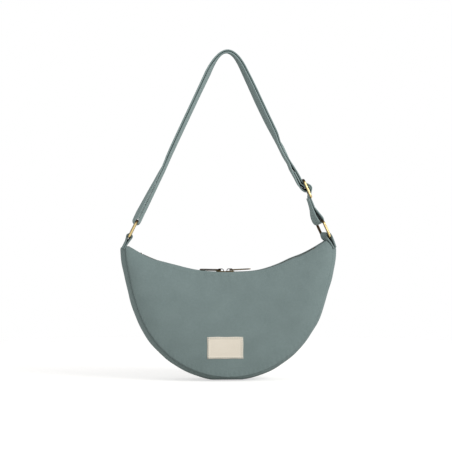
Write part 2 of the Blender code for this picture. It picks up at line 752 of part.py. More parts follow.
def add_adjuster(name):
    """A frame of round wire with a third bar across its middle."""
    half_width = (ADJUSTER_INNER_WIDTH + ADJUSTER_WIRE) / 2
    outline = rounded_rectangle(half_width, ADJUSTER_BAR_SPACING, ADJUSTER_CORNER)
    frame = wire_mesh(name, outline, ADJUSTER_WIRE, closed=True)
    adjuster = add_part(name, frame, "ring brass", RIGHT_LEG, (BAR_OFFSET, 0.0, ADJUSTER_HEIGHT))
    bar = wire_mesh("middle bar", [(-half_width, 0.0), (half_width, 0.0)], ADJUSTER_WIRE, closed=False)
    join_shape(adjuster, bar)


# Build

clear_scene()
MATERIALS = make_materials()
PARTS = new_collection("belt_bag")
CUTTERS = new_collection("cutters")

BAG_BASE = add_empty("bag base", None, (0.0, 0.0, -HANG_HEIGHT))
SWAY_PIVOT = add_empty("bag sway pivot", BAG_BASE, (-LOWER_RAIL_X, 0.0, LOWER_RAIL_Z))
BAG = add_empty("bag", SWAY_PIVOT, (LOWER_RAIL_X, 0.0, -LOWER_RAIL_Z))
RIGHT_LEG = add_empty("right leg", BAG_BASE, (UPPER_RAIL_X, 0.0, UPPER_RAIL_Z), -LEG_ANGLE)

front_panel = add_panel("front_panel", -1)
add_panel("back_panel", 1)
add_gusset("gusset")
add_panel_lining("front_lining", -1)
add_panel_lining("back_lining", 1)
add_gusset_lining("gusset_lining")
add_label("label_patch", front_panel)

for word, side in (("front", -1), ("back", 1)):
    add_tape(f"zipper_tape_{word}", side)
    add_teeth(f"zipper_teeth_{word}", side)

for word, side in (("left", -1), ("right", 1)):
    add_zip_end_cover(f"zip_end_cover_{word}", side)
    add_zip_stop(f"zip_stop_{word}", side)
    add_pull(f"zip_pull_{word}", side, add_slider(f"zip_slider_{word}", side))
    add_tab(f"tab_{word}", side)
    add_ring(f"ring_{word}", side)

add_webbing("strap_loop", strap_loop_path(), BAG_BASE)
add_webbing("strap_ring_end", ring_end_path(), BAG_BASE)
add_run("strap_sewn_run", -PLY_OFFSET, RUN_TOP, TAIL_TOP + SPREAD_LENGTH + CLEARANCE)
add_run("strap_live_run", PLY_OFFSET, RUN_TOP, BIGHT_TOP + CLEARANCE)
add_run("strap_lower_run", PLY_OFFSET, BIGHT_FOOT - CLEARANCE, LOOP_CLOSES_AT + 3 * CLEARANCE)
add_webbing("strap_sewn_fold", sewn_fold_path(), RIGHT_LEG)
add_webbing("strap_bight", bight_path(), RIGHT_LEG)
add_adjuster("adjuster")

print(f"{HANG_HEIGHT:.4f} m from the base to the hanging point, {LEG_LENGTH:.4f} m of straight leg")
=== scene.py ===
# %% [markdown]
# # A half-moon belt bag of cotton canvas
#
# The bag hangs by a webbing strap, which runs twice over the top, round a brass ring at each end and through
# an adjuster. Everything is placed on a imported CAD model, so this script only makes what the eye sees: the
# sewn cloth, the brass and the light. Lengths are in metres, the bag's front faces -Y, and the origin is
# where the strap is held at its top.

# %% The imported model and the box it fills
import math

import bpy
import numpy as np
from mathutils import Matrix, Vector


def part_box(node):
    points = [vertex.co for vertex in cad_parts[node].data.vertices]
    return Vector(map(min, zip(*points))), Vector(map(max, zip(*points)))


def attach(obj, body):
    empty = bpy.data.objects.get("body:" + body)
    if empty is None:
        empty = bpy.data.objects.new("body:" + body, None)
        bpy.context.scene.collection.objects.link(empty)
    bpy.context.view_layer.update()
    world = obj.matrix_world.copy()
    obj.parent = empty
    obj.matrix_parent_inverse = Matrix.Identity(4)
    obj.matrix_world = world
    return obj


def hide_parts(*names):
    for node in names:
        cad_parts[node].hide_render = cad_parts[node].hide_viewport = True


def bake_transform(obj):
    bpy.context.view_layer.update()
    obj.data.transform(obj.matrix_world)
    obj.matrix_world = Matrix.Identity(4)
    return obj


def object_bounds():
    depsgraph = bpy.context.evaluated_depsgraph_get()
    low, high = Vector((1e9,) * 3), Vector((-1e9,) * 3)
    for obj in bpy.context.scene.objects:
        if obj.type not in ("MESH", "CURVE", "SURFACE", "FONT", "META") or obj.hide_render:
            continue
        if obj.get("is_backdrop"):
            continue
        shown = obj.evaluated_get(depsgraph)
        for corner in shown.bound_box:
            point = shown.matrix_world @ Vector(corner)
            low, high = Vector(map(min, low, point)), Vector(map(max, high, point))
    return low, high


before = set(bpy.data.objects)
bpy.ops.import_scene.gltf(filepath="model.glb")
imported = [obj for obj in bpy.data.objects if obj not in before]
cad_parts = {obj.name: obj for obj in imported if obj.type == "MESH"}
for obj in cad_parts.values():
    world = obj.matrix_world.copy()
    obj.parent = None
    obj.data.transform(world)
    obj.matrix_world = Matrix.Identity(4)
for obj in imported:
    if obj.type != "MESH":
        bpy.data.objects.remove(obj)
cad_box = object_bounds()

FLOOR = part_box("gusset")[0].z
print(f"{len(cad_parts)} nodes, and the floor is {-FLOOR:.4f} m below the hand")

# %% [markdown]
# ## From numbers to meshes
#
# Cloth, webbing and wire are all surfaces that two numbers can walk over, such as "how far along" and "how
# far across". So one helper is enough: it takes a table of points, joins each point to its neighbours, and
# keeps a second table of cloth lengths as the UV map, so that a weave is as large on a small piece as on a
# large one. Blender's own primitives would need less code, but none of them has the shape of sewn cloth.

# %% A table of points becomes faces


def joined(*parts):
    """Parts that are stretched to one shape, as the last axis of a table."""
    return np.stack(np.broadcast_arrays(*parts), axis=-1)


def unit(ways):
    """The same ways with length 1."""
    return ways / np.linalg.norm(ways, axis=-1, keepdims=True)


def lengths_along(path):
    """How far each point of a path is from its start."""
    return np.append(0.0, np.cumsum(np.linalg.norm(np.diff(path[:, :3], axis=0), axis=1)))


def corners_of(table):
    """The four corners of every cell of a table: each entry with the next one down, across and both."""
    corners = [table[:-1, :-1], table[1:, :-1], table[1:, 1:], table[:-1, 1:]]
    return np.stack(corners, axis=2).reshape(-1, 4, *table.shape[2:])


def skin(points, uv=None, around=False, ring=False, turned=False):
    """Faces over a (rows, columns, 3) table: around joins the last column to the first, ring the last row.

    With around alone, the first and last row are closed by a flat face. turned makes the faces look the
    other way. uv has the cloth lengths, with one more column when around is set.
    """
    rows, columns = points.shape[:2]
    numbers = np.arange(rows * columns).reshape(rows, columns)
    caps = []
    if around and not ring:
        caps = [numbers[0], numbers[-1, ::-1]]
    if ring:
        numbers = np.vstack([numbers, numbers[:1]])
    if around:
        numbers = np.hstack([numbers, numbers[:, :1]])
    if uv is None:
        uv = np.zeros((*numbers.shape, 2))
    faces, lengths = corners_of(numbers), corners_of(uv)
    if turned:
        faces, lengths, caps = faces[:, ::-1], lengths[:, ::-1], [cap[::-1] for cap in caps]
    return {"points": points.reshape(-1, 3), "faces": faces, "caps": caps, "lengths": lengths}


def outward(part):
    """The same closed skin, faces outwards: then the volumes under its faces add up to more than 0."""
    points, faces = part["points"] - part["points"].mean(axis=0), part["faces"]
    a, b, c, d = (points[faces[:, corner]] for corner in range(4))
    volume = np.einsum("ij,ij->", a, np.cross(b, c)) + np.einsum("ij,ij->", a, np.cross(c, d))
    if volume >= 0:
        return part
    part["faces"], part["lengths"] = faces[:, ::-1], part["lengths"][:, ::-1]
    part["caps"] = [cap[::-1] for cap in part["caps"]]
    return part


def add_piece(name, parts, material, body, nodes=()):
    """One object from skins: it rides on a body and stands for the CAD nodes that it covers."""
    points, faces, lengths, start = [], [], [], 0
    for part in parts:
        points.append(part["points"])
        faces += (part["faces"] + start).tolist()
        lengths.append(part["lengths"].reshape(-1, 2))
        for cap in part["caps"]:
            faces.append((cap + start).tolist())
            lengths.append(np.zeros((len(cap), 2)))
        start += len(part["points"])
    mesh = bpy.data.meshes.new(name)
    mesh.from_pydata(np.concatenate(points), [], faces)
    mesh.uv_layers.new(name="cloth").uv.foreach_set("vector", np.concatenate(lengths).ravel())
    mesh.shade_smooth()
    mesh.materials.append(material)
    piece = bpy.data.objects.new(name, mesh)
    bpy.context.scene.collection.objects.link(piece)
    if body:
        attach(piece, body)
    if nodes:
        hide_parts(*nodes)
    print(f"{name}: {len(faces)} faces")
    return piece


def give_thickness(piece, thickness):
    """Cloth has two faces: Solidify adds the inner one, and a subdivision rounds the cut edges."""
    shell = piece.modifiers.new("thickness", "SOLIDIFY")
    shell.thickness = thickness
    shell.offset = -1
    shell.use_even_offset = False
    soft = piece.modifiers.new("soft edges", "SUBSURF")
    soft.levels = soft.render_levels = 1
    soft.use_limit_surface = False


# %% Small shapes of formulas

# Words for the pieces' names, with the sign of x or y on that side
LEFT_RIGHT = (("left", -1), ("right", 1))
FRONT_BACK = (("front", -1), ("back", 1))


def ease(share):
    """0 below 0, 1 above 1, and a smooth S between them."""
    share = np.clip(share, 0.0, 1.0)
    return share * share * (3 - 2 * share)


def quarter_roll(distance, radius):
    """How far a surface has rolled away near an edge: a quarter circle that ends at distance 0."""
    return radius * (1 - np.sqrt(1 - np.clip(1 - distance / radius, 0.0, 1.0) ** 2))


def bells(place, curves):
    """The sum of bell curves, each with its middle, reach and height."""
    return sum(height * np.exp(-((place - middle) / reach) ** 2) for middle, reach, height in curves)


def signed_power(value, power):
    """The power of the value's size, with the value's sign."""
    return np.sign(value) * np.abs(value) ** power


def through(points, steps=8):
    """A smooth curve through points: its slope at each one is half the way between the neighbours."""
    points = np.asarray(points, dtype=float)
    padded = np.vstack([2 * points[0] - points[1], points, 2 * points[-1] - points[-2]])
    slope = (padded[2:] - padded[:-2])[:, None] / 2
    share = np.linspace(0, 1, steps, endpoint=False)[None, :, None]
    here, there = points[:-1, None], points[1:, None]
    curve = here + (there - here) * ease(share) + slope[:-1] * share * (1 - share) ** 2
    curve = curve - slope[1:] * share**2 * (1 - share)
    return np.vstack([curve.reshape(-1, points.shape[1]), points[-1:]])


def soft_folds(x, z, seed, wavelengths, height):
    """Six slow waves in random directions, added up: the uneven lie of a large piece of cloth."""
    draw = np.random.default_rng(seed)
    total = np.zeros(np.broadcast(x, z).shape)
    for length in np.linspace(*wavelengths, 6):
        way, start = draw.uniform(0, math.pi), draw.uniform(0, math.tau)
        total += np.sin((x * math.cos(way) + z * math.sin(way)) / length * math.tau + start)
    return total * height / 3


def puckers(sizes, along, from_seam):
    """Gathers beside a seam: a sine along it whose phase wanders, under a bell curve across it.

    sizes are the height and pitch of the gathers, how far their phase wanders and over what length, and the
    middle and reach of the bell curve.
    """
    height, pitch, wander, wander_length, middle, reach = sizes
    gathers = np.sin(along / pitch * math.tau + wander * np.sin(along / wander_length))
    return height * gathers * np.exp(-((from_seam - middle) / reach) ** 2)


# %% [markdown]
# ## Canvas
#
# The bag is plain-weave cotton canvas, dyed grey-green and softened by washing. Close up, warp and weft
# threads cross like a basket; from two metres away only a faint mottling is left, with slightly paler fibres
# where the cloth is rubbed. A picture of cloth would repeat, so the weave is two crossed sines on the cloth's
# own lengths, and noise of three sizes makes the dye uneven.

# %% Colours and helpers for nodes


def linear(code):
    """A hex colour as it looks on a screen, turned to the linear values that Blender's shaders use."""
    shown = [int(code[start:start + 2], 16) / 255 for start in (1, 3, 5)]
    straight = [part / 12.92 if part <= 0.04045 else ((part + 0.055) / 1.055) ** 2.4 for part in shown]
    return (*straight, 1.0)


def add_node(tree, kind, inputs=None, **settings):
    """Adds one node to a tree: settings are its options, and inputs are links or values for its sockets."""
    node = tree.nodes.new(kind)
    for name, value in settings.items():
        setattr(node, name, value)
    for name, value in (inputs or {}).items():
        if isinstance(value, bpy.types.NodeSocket):
            tree.links.new(value, node.inputs[name])
        else:
            node.inputs[name].default_value = value
    return node


def computed(tree, operation, *inputs):
    """What a Math node makes of its inputs: links or values, in the order of its sockets."""
    return add_node(tree, "ShaderNodeMath", dict(enumerate(inputs)), operation=operation).outputs[0]


def noise(tree, place, scale, detail):
    """The level of a noise texture at a place: it varies round 0.5."""
    inputs = {"Vector": place, "Scale": scale, "Detail": detail}
    return add_node(tree, "ShaderNodeTexNoise", inputs).outputs[0]


def add_colours(tree, shader, tone, stops):
    """The shader's colour follows a tone: stops are pairs of a tone and a hex colour, in rising order."""
    ramp = add_node(tree, "ShaderNodeValToRGB", {"Fac": tone})
    elements = ramp.color_ramp.elements
    for element, (position, code) in zip(elements, (stops[0], stops[-1])):
        element.position = position
        element.color = linear(code)
    for position, code in stops[1:-1]:
        elements.new(position).color = linear(code)
    tree.links.new(ramp.outputs["Color"], shader.inputs["Base Color"])


def add_relief(tree, shader, height, distance, strength):
    """Makes the surface look raised: a height of 1 stands for the distance, in metres."""
    bump = add_node(tree, "ShaderNodeBump", {"Height": height, "Distance": distance, "Strength": strength})
    tree.links.new(bump.outputs["Normal"], shader.inputs["Normal"])


def new_material(name, **values):
    """A material with a bare Principled shader, and that shader's values that are the same all over."""
    material = bpy.data.materials.new(name)
    material.use_nodes = True
    shader = material.node_tree.nodes["Principled BSDF"]
    for socket, value in values.items():
        shader.inputs[socket.replace("_", " ")].default_value = value
    return material, material.node_tree, shader


# %% Woven cloth


def woven(name, dark, light, thread, twill=0.0, relief=0.00012, mottled=0.5, fuzz=0.25):
    """Cloth of crossing threads: a thread's height is a sine across it, so two crossed sines give the weave.

    thread is the spacing in metres. With twill, the rows lean over to both sides of the middle by that
    share, as in a webbing's herringbone. The colour runs from dark to light with the threads' height and
    with noise of three sizes.
    """
    material, tree, shader = new_material(
        name, Roughness=0.92, Sheen_Weight=fuzz, Sheen_Roughness=0.6, Sheen_Tint=linear(light)
    )
    lengths = add_node(tree, "ShaderNodeUVMap", uv_map="cloth").outputs["UV"]
    apart = add_node(tree, "ShaderNodeSeparateXYZ", {"Vector": lengths})
    along, across = apart.outputs["X"], apart.outputs["Y"]
    if twill:
        lean = computed(tree, "MULTIPLY", computed(tree, "ABSOLUTE", across), twill)
        along = computed(tree, "ADD", along, lean)
    threads = []
    for way in (along, across):
        turn = computed(tree, "MULTIPLY", way, math.pi / thread)
        threads.append(computed(tree, "SINE", turn))
    over = computed(tree, "MULTIPLY", *threads)
    slubs = noise(tree, lengths, 0.6 / thread, 2.0)
    clouds = noise(tree, lengths, 45.0, 3.0)
    blotches = noise(tree, lengths, 300.0, 2.0)
    tone = computed(tree, "MULTIPLY_ADD", over, 0.10, 0.5)
    for pattern, share in ((slubs, 0.6), (clouds, 0.8), (blotches, 0.6)):
        level = computed(tree, "SUBTRACT", pattern, 0.5)
        tone = computed(tree, "MULTIPLY_ADD", level, share * mottled, tone)
    add_colours(tree, shader, tone, ((0.0, dark), (1.0, light)))
    grain = computed(tree, "MULTIPLY_ADD", slubs, 0.8, over)
    add_relief(tree, shader, grain, relief, 0.8)
    return material


# Cotton canvas, plain-woven and piece-dyed: dull, with a soft bloom at grazing angles. Its threads are about
# 0.5 mm apart, and are drawn at 0.9 mm so that they show in the render.
CANVAS = woven("cotton canvas", "#657574", "#839392", 0.0009, fuzz=0.08)

# The lining is a thinner plain cotton of the same dye: its threads are closer and it has less bloom.
LINING = woven("lining cotton", "#5E6E6D", "#748483", 0.0007, relief=0.00008, fuzz=0.1)

# Sewing thread: polyester core, dyed to the cloth, with a faint gleam where it is pulled tight.
THREAD = woven("polyester sewing thread", "#74827F", "#93A3A0", 0.0004, relief=0.00004, fuzz=0.05)

# %% [markdown]
# ## The bag's outline
#
# Seen from the front, the bag is a half moon: a circle at the base, a straight side that touches it, and a
# shoulder that ends upright at the corner. The zip's edge is a shallow arc, tilted by a degree and a half.
# The same few sizes drive the CAD model, so cloth made from them lies where the solids are.

# %% Outline and zip edge

BAG_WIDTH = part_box("gusset")[1].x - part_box("gusset")[0].x
SIDE_FLARE = 0.0128
BASE_PRESS = 0.0018
BASE_RADIUS = BAG_WIDTH / 2 - SIDE_FLARE
SHOULDER_RADIUS = 0.120
ZIP_RADIUS = 0.257
ZIP_HEIGHT = 0.1496
ZIP_TILT = math.radians(1.6)
CORNER_RUN = 0.0128
CORNER_DROP = 0.005
ZIP_HALF_ANGLE = math.asin((BAG_WIDTH / 2 - CORNER_RUN) / ZIP_RADIUS)
LEVEL_TOP = ZIP_HEIGHT + ZIP_RADIUS * (1 - math.cos(ZIP_HALF_ANGLE))
CORNER_HEIGHT = LEVEL_TOP - CORNER_DROP


def half_outline():
    """Lengths, x, z and outward angle from the middle of the base to the right corner, as in the heading."""
    base_z = BASE_RADIUS - BASE_PRESS
    shoulder_x = BAG_WIDTH / 2 - SHOULDER_RADIUS
    apart = math.hypot(shoulder_x, CORNER_HEIGHT - base_z)
    lean = math.acos((BASE_RADIUS - SHOULDER_RADIUS) / apart)
    lean -= math.atan2(CORNER_HEIGHT - base_z, shoulder_x)
    base, shoulder = np.linspace(-math.pi / 2, -lean, 300), np.linspace(-lean, 0.0, 100)
    x = np.append(BASE_RADIUS * np.cos(base), shoulder_x + SHOULDER_RADIUS * np.cos(shoulder))
    z = np.append(base_z + BASE_RADIUS * np.sin(base), CORNER_HEIGHT + SHOULDER_RADIUS * np.sin(shoulder))
    length = np.append(0.0, np.cumsum(np.hypot(np.diff(x), np.diff(z))))
    return length, x, z, np.append(base, shoulder)


OUTLINE = half_outline()
HALF_LENGTH = OUTLINE[0][-1]


# Where the sewn side stands out past its drawn line, or falls short of it: height, reach and swell
SWELLS = {-1: ((0.122, 0.030, 0.0017),), 1: ((0.150, 0.045, 0.0020), (0.045, 0.034, -0.0011))}


def outline_at(u, inset):
    """x and z of the silhouette, drawn in by inset: u is 0 at the left corner and 1 at the right."""
    length, xs, zs, turns = OUTLINE
    along = np.abs(2 * u - 1) * HALF_LENGTH
    turn = np.interp(along, length, turns)
    height = np.interp(along, length, zs)
    for side, swells in SWELLS.items():
        inset = inset - (side * (2 * u - 1) > 0) * bells(height, swells)
    x = np.interp(along, length, xs) - inset * np.cos(turn)
    z = np.interp(along, length, zs) - inset * np.sin(turn)
    return np.sign(2 * u - 1) * x, z + FLOOR


def on_zip_arc(angle, radius):
    """x and z on the zip's tilted arc: angle is 0 at its middle, and a larger radius is lower."""
    x = -ZIP_RADIUS * math.sin(ZIP_TILT) + radius * np.sin(angle + ZIP_TILT)
    z = ZIP_HEIGHT + ZIP_RADIUS * math.cos(ZIP_TILT) - radius * np.cos(angle + ZIP_TILT)
    return x, z + FLOOR


# Where the sewn edge lies lower or higher than its arc: middle and reach along x, and drop. The zip's chain
# only sags with it on the right, and the front panel's edge has a dip of its own there.
CHAIN_DIPS = ((0.044, 0.028, 0.0024), (0.088, 0.012, -0.0012))
EDGE_DIPS = CHAIN_DIPS + ((-0.111, 0.013, 0.0017), (-0.072, 0.020, -0.0011))
FRONT_DIP = (0.100, 0.022, 0.0018)

# Depth of the bag at its base and at its corners, and between the two hems of its mouth
BASE_DEPTH = 0.060
CORNER_DEPTH = 0.026
MOUTH_DEPTH = 0.024


def half_depth_at(u):
    """Half the side band's width: widest at the base, and tapering with the square of the height."""
    height = np.clip(outline_at(u, 0.0)[1] - FLOOR, 0.0, None) / CORNER_HEIGHT
    return (CORNER_DEPTH + (BASE_DEPTH - CORNER_DEPTH) * (1 - height**2)) / 2


print(f"outline {2 * HALF_LENGTH:.3f} m long, corners {CORNER_HEIGHT:.4f} m above the floor")

# %% [markdown]
# ## Front and back panel
#
# Each panel is one flat cut piece. Sewing pulls its curved edge inwards to the side band and turns its top
# edge over the zip's tape, so the cloth between them swells. Straight ribs run from the seam to the zip edge;
# a bulge lifts them, the last millimetre and a half rolls into the seam, and slow waves and small puckers at
# the seams keep it from looking pressed. A cloth simulation could swell it too, but the photographed bag is
# nearly smooth, and a formula keeps its outline exactly.

# %% Panels

CLOTH = 0.0010
SEAM_INSET = 0.0070
SEAM_ROLL = 0.0016
HEM_RADIUS = 0.0011
HEM_DEPTH = 0.004
PANEL_CROWN = 0.0085
CROWN_FULLNESS = 0.8

# Gathers below the top edge and beside the seam, in the order that puckers() takes them
TOP_PUCKERS = (0.00014, 0.011, 1.7, 0.047, 0.006, 0.006)
SEAM_PUCKERS = (0.00022, 0.0075, 2.0, 0.031, 0.004, 0.003)

# Slow waves of the whole panel: shortest and longest wave, height, and a seed for each side
FOLD_LENGTHS = (0.035, 0.110)
FOLD_HEIGHT = 0.0009
FOLD_SEEDS = {-1: 7, 1: 11}

# Distances from a seam at which the cloth has a column of points, close together where it rolls in
ROLL_COLUMNS = SEAM_ROLL * np.array([0.0, 0.12, 0.3, 0.55, 0.8, 1.1, 1.7])


def panel_surface(u, v, side, inset, inward, lowered):
    """Ribs from the seam (v = 0) to the zip edge (v = 1), lifted by a bulge: a sine to a power below 1."""
    top_x, top_z = on_zip_arc((2 * u - 1) * ZIP_HALF_ANGLE, ZIP_RADIUS + lowered)
    top_z = top_z - bells(top_x, EDGE_DIPS + (FRONT_DIP,) * (side < 0))
    base_x, base_z = outline_at(u, inset)
    x, z = base_x + (top_x - base_x) * v, base_z + (top_z - base_z) * v
    rib = np.hypot(top_x - base_x, top_z - base_z)
    depth = half_depth_at(u) * (1 - v) + MOUTH_DEPTH / 2 * v
    crown = np.sin(np.pi * v).clip(0) ** CROWN_FULLNESS * (1 - (2 * u - 1) ** 4)
    rolled = quarter_roll(rib * v, SEAM_ROLL)
    return x, z, depth + PANEL_CROWN * crown - rolled - inward, rib


def outer_surface(u, v, side):
    """The outer face of a panel, up to the fold of its hem."""
    return panel_surface(u, v, side, SEAM_INSET, 0.0, HEM_RADIUS)


def panel_grid(side):
    """The panel with its folds, then its hem: over the top in a half circle, and a few millimetres down."""
    u = np.linspace(0, 1, 221)[:, None]
    rib = outer_surface(u, 0.0, side)[3]
    near = ROLL_COLUMNS
    rest = near[-1] + (rib - near[-1]) * np.linspace(0, 1, 52)[1:]
    from_seam = np.hstack([near + 0 * rib, rest])
    v = from_seam / rib
    x, z, depth, rib = outer_surface(u, v, side)
    from_top = rib - from_seam
    along_top = (u - 0.5) * 2 * ZIP_HALF_ANGLE * ZIP_RADIUS
    along_seam = (u - 0.5) * 2 * HALF_LENGTH
    waves = soft_folds(x, z, FOLD_SEEDS[side], FOLD_LENGTHS, FOLD_HEIGHT)
    calm = ease(from_seam / 0.030) * ease(from_top / 0.025)
    top_puckers = puckers(TOP_PUCKERS, along_top, from_top)
    seam_puckers = puckers(SEAM_PUCKERS, along_seam, from_seam)
    depth = depth + waves * calm + (top_puckers + seam_puckers) * ease(rib / 0.05)
    turn = np.linspace(0, np.pi, 8)[1:]
    down = np.linspace(0, HEM_DEPTH, 4)[1:]
    hem_radius = np.concatenate([HEM_RADIUS * (1 - np.sin(turn)), HEM_RADIUS + down])
    hem_inward = np.concatenate([HEM_RADIUS * (1 - np.cos(turn)), np.full(3, 2 * HEM_RADIUS)])
    hem_x, hem_z = on_zip_arc((2 * u - 1) * ZIP_HALF_ANGLE, ZIP_RADIUS + hem_radius)
    hem_z = hem_z - bells(x[:, -1:], EDGE_DIPS + (FRONT_DIP,) * (side < 0))
    hem_depth = MOUTH_DEPTH / 2 - hem_inward + top_puckers[:, -1:]
    hem_depth = np.broadcast_to(hem_depth, hem_x.shape)
    points = joined(np.hstack([x, hem_x]), side * np.hstack([depth, hem_depth]), np.hstack([z, hem_z]))
    folded = np.concatenate([HEM_RADIUS * turn, HEM_RADIUS * math.pi + down])
    beyond = np.broadcast_to(x[:, -1:], hem_x.shape)
    lengths = joined(np.hstack([x, beyond]), np.hstack([z, z[:, -1:] + folded]))
    return skin(points, lengths, turned=side > 0)


for word, side in FRONT_BACK:
    panel = add_piece(f"{word}_panel_canvas", [panel_grid(side)], CANVAS, "bag", [f"{word}_panel"])
    give_thickness(panel, CLOTH)

# %% [markdown]
# ## Side band
#
# One long strip goes round both sides and under the base. It bulges a few millimetres past its two seams, is
# widest where the bag is deepest, and its ends turn over inwards at the bag's corners. The floor presses its
# middle flat.

# %% Side band

BAND_END_ROLL = 0.0032

# The base only touches the floor in its middle: it rises by this times the square of the depth, in metres
BASE_CROWN = 6.5

# The band's edges stop this far inside the panels' seams, and then turn inwards by the allowance
SEAM_SLIP = 0.0007
SEAM_ALLOWANCE = 0.003
BAND_PUCKERS = (0.00025, 0.0083, 2.2, 0.039, 0.004, 0.003)
BAND_FOLD_LENGTHS = (0.03, 0.09)
BAND_FOLD_HEIGHT = 0.0004
BAND_FOLD_SEED = 3


def band_grid():
    """Rows follow the outline, columns go from the front seam to the back, and a parabola bulges between."""
    ends = BAND_END_ROLL / HALF_LENGTH / 2 * np.array([0.0, 0.1, 0.25, 0.5, 0.8, 1.2])
    u = np.concatenate([ends, np.linspace(0.006, 0.994, 260), 1 - ends[::-1]])[:, None]
    half = half_depth_at(u) - SEAM_ROLL - SEAM_SLIP
    near = ROLL_COLUMNS
    middle = (half - near[-1]) * np.linspace(-1, 1, 15)[1:-1]
    y = np.hstack([near - half, middle, half - near[::-1]])
    across = y / half
    from_seam, from_end = half - np.abs(y), HALF_LENGTH * (1 - np.abs(2 * u - 1))
    along = (u - 0.5) * 2 * HALF_LENGTH
    inset = (SEAM_INSET - SEAM_ROLL) * across**2 + quarter_roll(from_seam, SEAM_ROLL)
    inset = inset + quarter_roll(from_end, BAND_END_ROLL)
    calm = ease(from_end / 0.03)
    inset = inset - puckers(BAND_PUCKERS, along, from_seam) * calm
    waves = soft_folds(along, y, BAND_FOLD_SEED, BAND_FOLD_LENGTHS, BAND_FOLD_HEIGHT)
    inset = inset - waves * ease(from_seam / 0.012) * calm
    y, inset = (np.hstack([table[:, :1], table, table[:, -1:]]) for table in (y, inset))
    inset[:, [0, -1]] += SEAM_ALLOWANCE
    x, z = outline_at(u, inset)
    points = joined(x, y, np.maximum(z, FLOOR + BASE_CROWN * y**2))
    return skin(points, joined(along, y), turned=True)


side_band = add_piece("side_band_canvas", [band_grid()], CANVAS, "bag", ["gusset"])
give_thickness(side_band, CLOTH)

# %% [markdown]
# ## Linings
#
# Each outer piece has a cotton lining a little inside it. They only show through the open mouth, so they need
# the same shapes with fewer faces and no folds.

# %% Linings

LINING_INWARD = 0.0024
LINING_THICKNESS = 0.0006
LINING_LOWERED = 0.0045


def lining_grid(side):
    """The panel's ribs again, set inwards and lowered at the zip edge, without folds."""
    u = (0.5 + (np.linspace(0, 1, 81) - 0.5) * 0.985)[:, None]
    v = np.linspace(0, 1, 25)[None, :]
    x, z, depth, _ = panel_surface(u, v, side, SEAM_INSET + LINING_INWARD, LINING_INWARD, LINING_LOWERED)
    points = joined(x, side * depth, z)
    return skin(points, joined(x, z), turned=side > 0)


def band_lining_grid():
    """The side band's parabola again, set inwards."""
    u = np.linspace(0.008, 0.992, 121)[:, None]
    half = half_depth_at(u) - SEAM_ROLL - LINING_INWARD
    y = half * np.linspace(-1, 1, 13)
    x, z = outline_at(u, SEAM_INSET * (y / half) ** 2 + LINING_INWARD)
    points = joined(x, y, np.maximum(z, FLOOR + LINING_INWARD + BASE_CROWN * y**2))
    return skin(points, joined(u * 2 * HALF_LENGTH, y), turned=True)


for name, grid in (("front", lining_grid(-1)), ("back", lining_grid(1)), ("gusset", band_lining_grid())):
    lining = add_piece(f"{name}_lining_cotton", [grid], LINING, "bag", [f"{name}_lining"])
    give_thickness(lining, LINING_THICKNESS)

# %% [markdown]
# ## Bands, wires and pads
#
# Three more shapes cover the rest of the bag. A band is a flat profile with rounded edges carried along a
# path, and it can twist. A wire is a circle carried round a closed path. A pad is an outline that swells from
# a flat middle to a rounded rim, for plates, teeth and stitches.

# %% Band, wire and pad


def resample(path, step, smooth=0):
    """The same path with even steps: every column is interpolated over the length walked so far."""
    walked = lengths_along(path)
    count = max(int(round(walked[-1] / step)), 4)
    even = np.linspace(0, walked[-1], count + 1)
    path = joined(*(np.interp(even, walked, column) for column in path.T))
    for _ in range(smooth):
        path[1:-1] = (path[:-2] + 2 * path[1:-1] + path[2:]) / 4
    return path


CURL_REACH = 0.004
RIB_PITCH = 0.0021


def band_profile(width, thickness, columns):
    """A closed flat profile: (across, height) along the top and back underneath, with half-round edges."""
    across = width / 2 * np.sin(np.linspace(-np.pi / 2, np.pi / 2, columns))
    edge = np.clip((np.abs(across) - width / 2 + thickness / 2) / (thickness / 2), 0.0, 1.0)
    height = thickness / 2 * np.sqrt(1 - edge**2)
    top = joined(across, height)
    return np.concatenate([top, top[-2:0:-1] * [1, -1]])


def band(path, width, thickness, ribs=0.0, columns=15):
    """A profile carried along a path of centres (columns 0 to 2) with the way of its width (3 to 5).

    A point is centre + across * width way + height * (direction x width way). ribs raises herringbone
    ridges on both faces: a sine of the length walked plus the distance from the middle. Columns 6 to 8, if
    there are any, say how far the front edge curls: the curl fades with the square of the distance from it.
    """
    path = np.hstack([path, np.zeros((len(path), 9 - path.shape[1]))])
    centre, wide, curl = path[:, None, :3], path[:, None, 3:6], path[:, None, 6:9]
    wide = unit(wide)
    ahead = np.gradient(path[:, :3], axis=0)[:, None, :]
    high = unit(np.cross(ahead, wide))
    walked = lengths_along(path)
    across, height = band_profile(width, thickness, columns).T
    ridge = np.sin((walked[:, None] + 0.8 * np.abs(across)) / RIB_PITCH * math.tau)
    height = height + np.sign(height) * ribs * ridge * (np.abs(across) < width / 2 - thickness / 2)
    curled = np.clip(1 - (across + width / 2) / CURL_REACH, 0.0, 1.0) ** 2
    points = centre + across[:, None] * wide + height[..., None] * high + curled[:, None] * curl
    around = np.append(across, across[0])
    lengths = joined(walked[:, None], around)
    return outward(skin(points, lengths, around=True))


